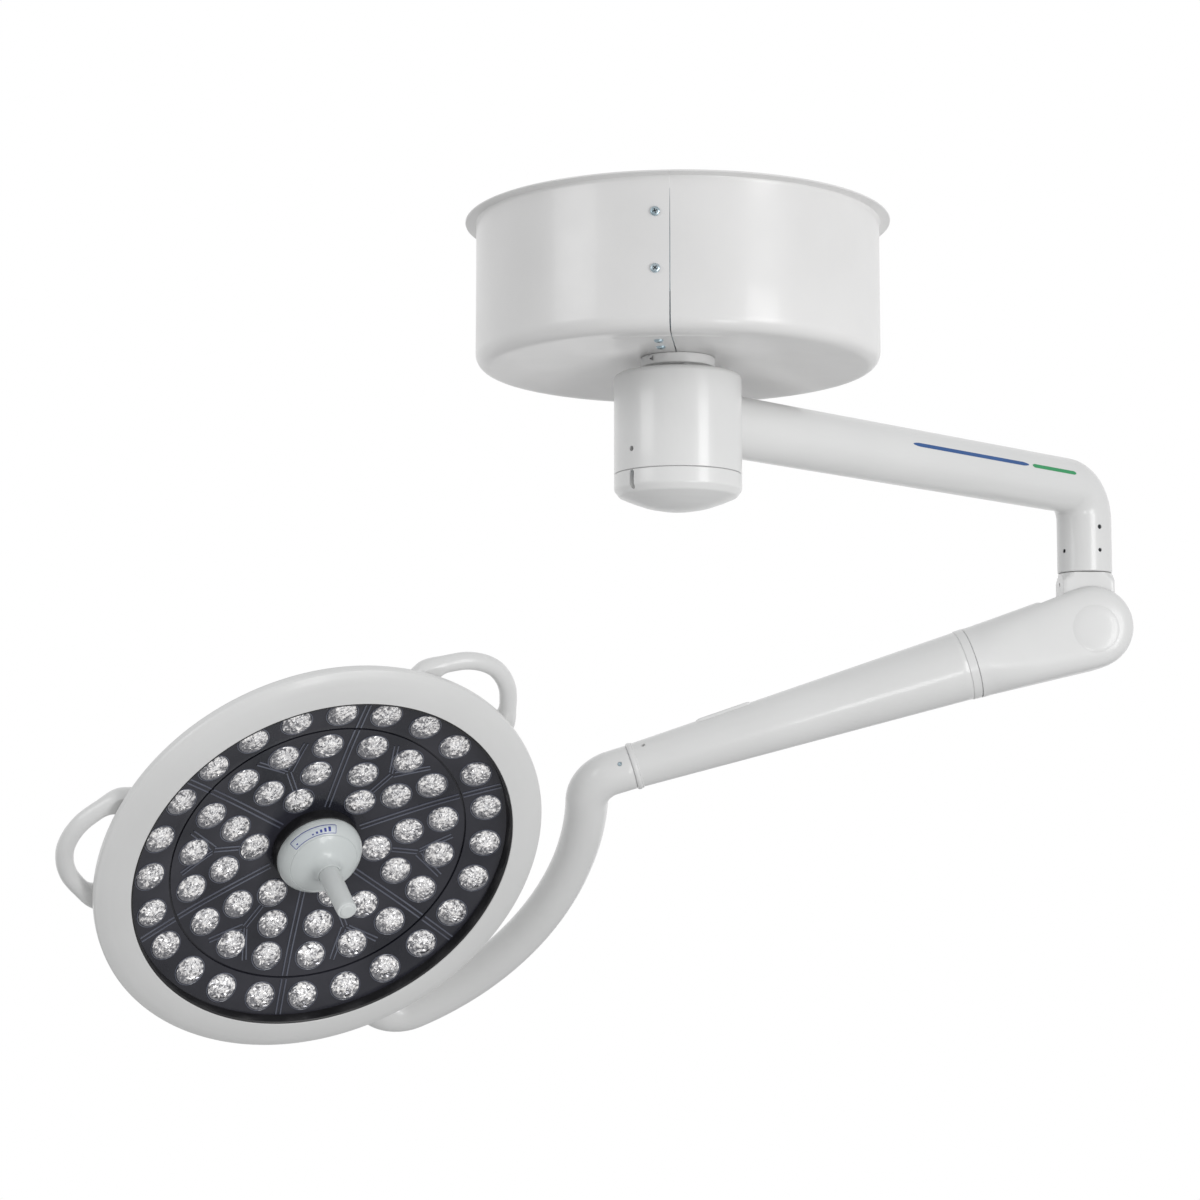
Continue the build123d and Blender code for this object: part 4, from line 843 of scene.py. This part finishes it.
for sector in range(6):
    edge = 30 + 60 * sector
    ex, ey = cos(radians(edge)), sin(radians(edge))
    for off in (-3.0, 3.0):
        for r0, r1 in ((60.5, GROOVE_R - 2.2), (GROOVE_R + 2.2, 241.5)):
            rib(panel, [(r0 * ex - off * ey, r0 * ey + off * ex), (r1 * ex - off * ey, r1 * ey + off * ex)])
    mid = 60 * sector
    for off in (-2.6, 2.6):
        ox, oy = -sin(radians(mid)) * off, cos(radians(mid)) * off
        inner, hub_at = polar(102.5, mid), polar(133.5 + abs(off), mid)
        rib(panel, [(inner[0] + ox, inner[1] + oy), (hub_at[0] + ox, hub_at[1] + oy)], 1.5, 0.9)
    for sign in (-1, 1):
        for off in (-2.6, 2.6):
            a0, a1 = polar(138.0 + off * 0.5, mid + sign * 1.2), polar(176.0, mid + sign * 10.2)
            d = Vector((a1[0] - a0[0], a1[1] - a0[1])).normalized()
            rib(panel, [(a0[0] - d.y * off, a0[1] + d.x * off), (a1[0] - d.y * off, a1[1] + d.x * off)], 1.5,
                0.9)
for r, angle in LENSES:
    # seat rings take the lighter rib material, painted highlight on their edges
    seat = lathe_bm([(19.4, -0.6), (19.4, 0.9), (19.9, 1.15), (20.5, 0.9), (21.0, -0.6)], 40, mat_index=1)
    seat.transform(dish_frame(r, angle, 0.4 if r > GROOVE_R else 0.0))
    me = bpy.data.meshes.new("copy")
    seat.to_mesh(me)
    seat.free()
    panel.from_mesh(me)
    bpy.data.meshes.remove(me)
new_object("dish_panel", panel, HEAD, ["smoke", "rib"], "head", "lens_panel", sharp=25)

rng = random.Random(7)


def lens_bm():
    # one cut optic: rings of small facets round a centre button, in a clear rim; its bright look is painted
    # glow from the facet tones
    bm = bmesh.new()
    rings = [(18.9, 0.3, 30), (18.3, 1.5, 30), (15.2, 1.1, 30), (12.3, 1.9, 30), (9.2, 1.2, 30),
             (6.4, 2.1, 30),
             (4.6, 2.2, 30)]
    rows = [[bm.verts.new((18.9 * cos(2 * pi * k / 30), 18.9 * sin(2 * pi * k / 30),
                           -5.0)) for k in range(30)]]
    for i, (r, z, n) in enumerate(rings):
        row = []
        for k in range(n):
            t = 2 * pi * (k + 0.5 * (i % 2)) / n
            jog = rng.uniform(-0.55, 0.55) if 1 < i < 6 else 0.0
            wob = rng.uniform(-0.45, 0.45) if 1 < i < 6 else 0.0
            row.append(bm.verts.new(((r + wob) * cos(t), (r + wob) * sin(t), z + jog)))
        rows.append(row)
    for i, (a, b) in enumerate(zip(rows, rows[1:])):
        n = len(a)
        for k in range(n):
            m = (k + 1) % n
            if i < 2:
                bm.faces.new((a[k], a[m], b[m], b[k]))
            else:
                bm.faces.new((a[k], a[m], b[k]))
                bm.faces.new((a[m], b[m], b[k]))
    last = rows[-1]
    button = [bm.verts.new((v.co.x * 0.55, v.co.y * 0.55, 2.7 + rng.uniform(-0.3, 0.3))) for v in last]
    for k in range(len(last)):
        m = (k + 1) % len(last)
        bm.faces.new((last[k], last[m], button[m], button[k]))
    bm.faces.new(button)
    bm.faces.new(list(reversed(rows[0])))
    return bm


# each facet takes one of three tones: darker towards the underside as painted shade, darker towards the rim
# of its lens, and the glowing core towards the upper side and centre as painted highlight
PAINTED_SHADE_DIR = HEAD.to_3x3().inverted() @ (Vector((0, 0, -1)) - heading(-44.8) * 0.35).normalized()
optics = bmesh.new()
for r, angle in LENSES:
    one = lens_bm()
    seat = dish_frame(r, angle, 0.4 if r > GROOVE_R else 0.0, rng.uniform(0, 6.28))
    one.transform(seat)
    for f in one.faces:
        rel = (f.calc_center_median() - seat.translation) / 18.9
        painted_light_tone = 0.5 * rel.dot(PAINTED_SHADE_DIR) + 0.55 * rel.length**2 + rng.gauss(0.0, 0.2)
        f.material_index = 2 if painted_light_tone > 0.52 else 1 if painted_light_tone < 0.02 else 0
    me = bpy.data.meshes.new("copy")
    one.to_mesh(me)
    one.free()
    optics.from_mesh(me)
    bpy.data.meshes.remove(me)
# optics in three materials: painted glints, painted glow at the centre, painted shade
new_object("lens_optics", optics, HEAD, ["lens", "painted_glow_core", "shade"], "head", "lenses",
           smooth=False)

ring_black = fillet([(50.0, 26.0), (55.6, 26.0), (55.6, 46.0), (54.8, 47.3), (50.0, 47.3), (50.0, 26.0)],
                    [0, 1.0, 0.6, 0.4], 5)
new_object("centre_surround", lathe_bm(ring_black[:-1], 128), HEAD, "black", "head", "centre_ring")

crown = [(54.3, 47.6), (54.6, 48.2), (54.6, 51.5), (54.1, 54.2), (52.8, 57.2), (50.6, 60.4), (48.0, 63.2),
         (45.6, 65.4),
         (43.6, 66.9), (43.3, 66.7), (42.9, 66.7), (42.5, 67.7), (39.0, 70.0), (34.0, 72.7), (28.0, 75.2),
         (23.0, 77.4),
         (19.6, 79.9), (17.2, 83.2), (15.6, 87.2), (14.8, 90.6), (13.9, 91.0), (13.9, 77.0), (30.0, 70.5),
         (42.0, 62.0),
         (49.8, 53.0), (51.2, 47.6)]
new_object("dome_cover", lathe_bm(crown, 144), HEAD, "dome", "head", "control_dome")


def crown_z(r):
    pts = crown[2:14]
    for (r0, z0), (r1, z1) in zip(pts, pts[1:]):
        if r1 <= r <= r0:
            return z0 + (z1 - z0) * (r0 - r) / (r0 - r1) if r0 > r1 else z1
    return 75.0


def dome_patch(bm, r0, r1, a0, a1, lift, index, thick=0.25):
    # a thin patch lying on the dome between two radii and two angles
    nr, na = 4, max(2, int(abs(a1 - a0) / 2) + 1)
    top, low = [], []
    for i in range(nr + 1):
        r = r0 + (r1 - r0) * i / nr
        top.append([])
        low.append([])
        for j in range(na + 1):
            t = radians(a0 + (a1 - a0) * j / na)
            z = crown_z(r) + lift
            top[-1].append(bm.verts.new((r * cos(t), r * sin(t), z)))
            low[-1].append(bm.verts.new((r * cos(t), r * sin(t), z - thick)))
    for grid, flip in ((top, False), (low, True)):
        for i in range(nr):
            for j in range(na):
                quad = (grid[i][j], grid[i + 1][j], grid[i + 1][j + 1], grid[i][j + 1])
                bm.faces.new(tuple(reversed(quad)) if flip else quad).material_index = index
    edge_t = [top[0][j] for j in range(na + 1)] + [top[i][na] for i in range(1, nr + 1)] + \
             [top[nr][j] for j in range(na - 1, -1, -1)] + [top[i][0] for i in range(nr - 1, 0, -1)]
    edge_l = [low[0][j] for j in range(na + 1)] + [low[i][na] for i in range(1, nr + 1)] + \
             [low[nr][j] for j in range(na - 1, -1, -1)] + [low[i][0] for i in range(nr - 1, 0, -1)]
    for k in range(len(edge_t)):
        m = (k + 1) % len(edge_t)
        bm.faces.new((edge_t[k], edge_t[m], edge_l[m], edge_l[k])).material_index = index


label = bmesh.new()
LOW_R, HIGH_R, A_LOW, A_HIGH = 45.2, 52.6, 24.0, 94.0
dome_patch(label, LOW_R + 0.5, HIGH_R - 0.5, A_LOW, A_HIGH, 0.3, 0)
dome_patch(label, LOW_R, LOW_R + 0.5, A_LOW, A_HIGH, 0.42, 1)
dome_patch(label, HIGH_R - 0.4, HIGH_R, A_LOW, A_HIGH, 0.42, 1)
dome_patch(label, LOW_R + 0.3, HIGH_R - 0.3, A_LOW - 0.8, A_LOW, 0.42, 1)
dome_patch(label, LOW_R + 0.3, HIGH_R - 0.3, A_HIGH, A_HIGH + 0.8, 0.42, 1)
for k in range(5):
    a = 60.0 - 6.6 * k
    dome_patch(label, 47.0, 48.2 + 0.72 * k, a - 1.3 - 0.15 * k, a + 1.3 + 0.15 * k, 0.45, 1)
dome_patch(label, 47.6, 48.6, 86.0, 88.6, 0.45, 1)
new_object("level_strip", label, HEAD, ["film", "blue"], "head", "level_label", sharp=40)

post = fillet([(0.0, 46.0), (24.0, 46.0), (24.0, 50.0), (13.4, 50.0), (13.4, 92.0), (12.3, 160.0),
               (11.8, 163.4),
               (9.6, 164.2), (9.2, 163.9), (8.8, 164.1), (8.4, 165.4), (6.6, 165.8), (0.0, 165.8)],
              [0, 0, 0, 20, 1.0, 0.8, 0.1, 0.1, 0.3, 0.6, 0.8], 4)
new_object("grip_post", lathe_bm(post, 96, closed=False), HEAD, "post", "handle", "handle_post")

# loop handles: one bent bar each, thicker where it runs into the rim
LOOP_Z = 41.0
for number, angle in enumerate((0.0, 120.0), 1):
    cage = [(238.0, -70.0), (262.0, -71.0), (276.0, -68.6), (288.0, -62.2), (300.0, -51.6), (311.8, -37.6),
            (320.2, -19.8),
            (323.6, 0.0)]
    cage += [(x, -y) for x, y in reversed(cage[:-1])]
    pts, rad = [], []
    for i in range(len(cage) - 1):
        p0, p1, p2, p3 = (Vector(cage[max(0, min(len(cage) - 1, i + d))]) for d in (-1, 0, 1, 2))
        for k in range(8):
            t = k / 8
            p = 0.5 * ((2 * p1) + (p2 - p0) * t + (2 * p0 - 5 * p1 + 4 * p2 - p3) * t * t
                       + (3 * p1 - p0 - 3 * p2 + p3) * t**3)
            pts.append((p.x, p.y, LOOP_Z))
    pts.append((*cage[-1], LOOP_Z))
    for x, y, z in pts:
        flare = max(0.0, min(1.0, (294.0 - x) / 26.0))
        rad.append(10.9 + 5.6 * flare * flare * (3 - 2 * flare))
    bm = tube_bm(pts, rad, 48)
    for v in bm.verts:
        v.co.z = LOOP_Z + max(-13.0, min(11.2, v.co.z - LOOP_Z))
    new_object("loop_grip_%d" % number, bm, HEAD @ Matrix.Rotation(radians(angle), 4, "Z"), "cover", "head",
               "loop_handle_%d" % number)

housing = fillet([(263.2, 55.9), (284.0, 55.9), (284.0, 52.9), (265.9, 51.8), (256.0, 30.0), (236.5, 2.0),
                  (204.0, -24.5), (160.0, -43.0), (110.0, -54.3), (55.0, -60.5), (0.0, -62.0)],
                 [0.3, 0.8, 2.5, 60, 90, 90, 120, 160, 160], 8)
housing += [(0.0, -59.2), (55.0, -57.6), (109.0, -51.3), (158.5, -40.2), (202.0, -21.9), (233.7, 4.0),
            (253.2, 31.3),
            (262.8, 51.0)]
rear = new_object("head_back", lathe_bm(housing, 200), HEAD, "cover", "head", "rear_housing")
entry = HEAD @ basis(Vector((0, 0, 0)), Vector((0, 0, 1)),
                     Vector((cos(radians(-120)), sin(radians(-120)), 0)))
cut(rear, prism_bm(circle(28.4, 96), 180.0, 300.0), entry)

heads = []
for angle in (-90.0, -30.0, 30.0, 90.0, 150.0, 210.0):
    heads.append(basis(Vector((272 * cos(radians(angle)), 272 * sin(radians(angle)), 52.2)),
                       Vector((1, 0, 0)),
                       Vector((0, 0, -1))) @ Matrix.Rotation(radians(angle * 1.7), 4, "Z"))
new_object("rim_fasteners", scatter(HEADS, heads), HEAD, ["zinc", "dark"], "head", "rim_screws")

# ---------------------------------------------------------------- inner parts keep their CAD shape

FINISH = {
    "zinc_steel": "zinc", "fastener_steel": "zinc", "machined_steel": "steel", "bearing_steel": "steel",
    "spring_steel": "spring", "cast_alloy": "alloy", "sink_alloy": "alloy", "dark_screw": "dark",
    "bush_bronze": "bronze", "slip_ring_brass": "bronze", "supply_case": "supply",
          "terminal_plastic": "plastic",
    # lens_clear parts take the optic material with painted glints
    "black_plastic": "black", "smoked_panel": "smoke", "lens_clear": "lens", "led_board": "led",
    "circuit_board": "board", "label_film": "film", "white_enamel": "enamel", "white_cover": "cover",
    "handle_plastic": "cover", "dome_plastic": "dome", "post_plastic": "post",
}
for part in frame["record"]["subparts"]:
    ob = NODES[part["node"]]
    look = MAT[FINISH[part["material_slot"]]]
    if not ob.material_slots:
        ob.data.materials.append(look)
    for slot in ob.material_slots:
        slot.material = look

# ---------------------------------------------------------------- stage, light and camera

scene = bpy.context.scene
scene.view_settings.view_transform = "Standard"
floor_mesh = bmesh.new()
for x, y in ((-5, -5), (5, -5), (5, 5), (-5, 5)):
    floor_mesh.verts.new((x, y, -2.2))
floor_mesh.faces.new(floor_mesh.verts)
me = bpy.data.meshes.new("floor")
floor_mesh.to_mesh(me)
floor = bpy.data.objects.new("floor", me)
scene.collection.objects.link(floor)
fmat, ftree, fbsdf = nodes_of("pale_floor")
grain = noise(ftree, 3.0)
fcol = ramp(ftree, grain.outputs["Fac"], [(0.3, (0.56, 0.56, 0.56)), (0.7, (0.6, 0.6, 0.6))])
ftree.links.new(fcol.outputs["Color"], fbsdf.inputs["Base Color"])
fbsdf.inputs["Roughness"].default_value = 0.8
me.materials.append(fmat)

# a bright studio wall behind the lamp, softer surroundings elsewhere
world = bpy.data.worlds.new("studio")
scene.world = world
world.use_nodes = True
wt = world.node_tree
coord = wt.nodes.new("ShaderNodeTexCoord")
dot = wt.nodes.new("ShaderNodeVectorMath")
dot.operation = "DOT_PRODUCT"
dot.inputs[1].default_value = heading(45.2, 4.0)
wt.links.new(coord.outputs["Generated"], dot.inputs[0])
sky = ramp(wt, dot.outputs["Value"],
           [(0.0, (0.58, 0.585, 0.59)), (0.45, (0.74, 0.745, 0.75)), (0.86, (1, 1, 1))])
wt.links.new(sky.outputs["Color"], wt.nodes["Background"].inputs["Color"])
wt.nodes["Background"].inputs["Strength"].default_value = 1.0


def area(name, at, target, size, power, shine=1.0, fill=1.0):
    data = bpy.data.lights.new(name, "AREA")
    data.shape = "RECTANGLE"
    data.size, data.size_y = size
    data.energy = power
    data.specular_factor = shine
    data.diffuse_factor = fill
    ob = bpy.data.objects.new(name, data)
    ob.location = at
    ob.rotation_euler = (Vector(target) - Vector(at)).to_track_quat("-Z", "Y").to_euler()
    scene.collection.objects.link(ob)


area("key", (0.0, -2.7, -0.45), (0.3, 0.3, -0.45), (0.9, 1.7), 31, 0.1)
area("side", (-2.5, 0.6, 0.5), (0.2, 0.2, -0.5), (1.2, 1.0), 13, 0.2)
area("strip", (-0.45, -1.42, -1.18), (0.55, 0.15, -0.49), (0.34, 0.42), 3.4, 1.0, 0.06)

# where the camera stands, in mm, and the azimuth and elevation that it looks along, in degrees
CAMERA_AT = Vector((-2216.6, -2109.8, -754.0))
CAMERA_LOOK = (45.2, 6.2)
CAMERA_LENS = 84.0

cam_data = bpy.data.cameras.new("camera")
cam_data.lens = CAMERA_LENS
cam_data.sensor_width = 36.0
cam = bpy.data.objects.new("camera", cam_data)
scene.collection.objects.link(cam)
look = heading(*CAMERA_LOOK)
cam.location = CAMERA_AT * MM
cam.rotation_euler = look.to_track_quat("-Z", "Y").to_euler()
scene.camera = cam

bpy.context.view_layer.update()
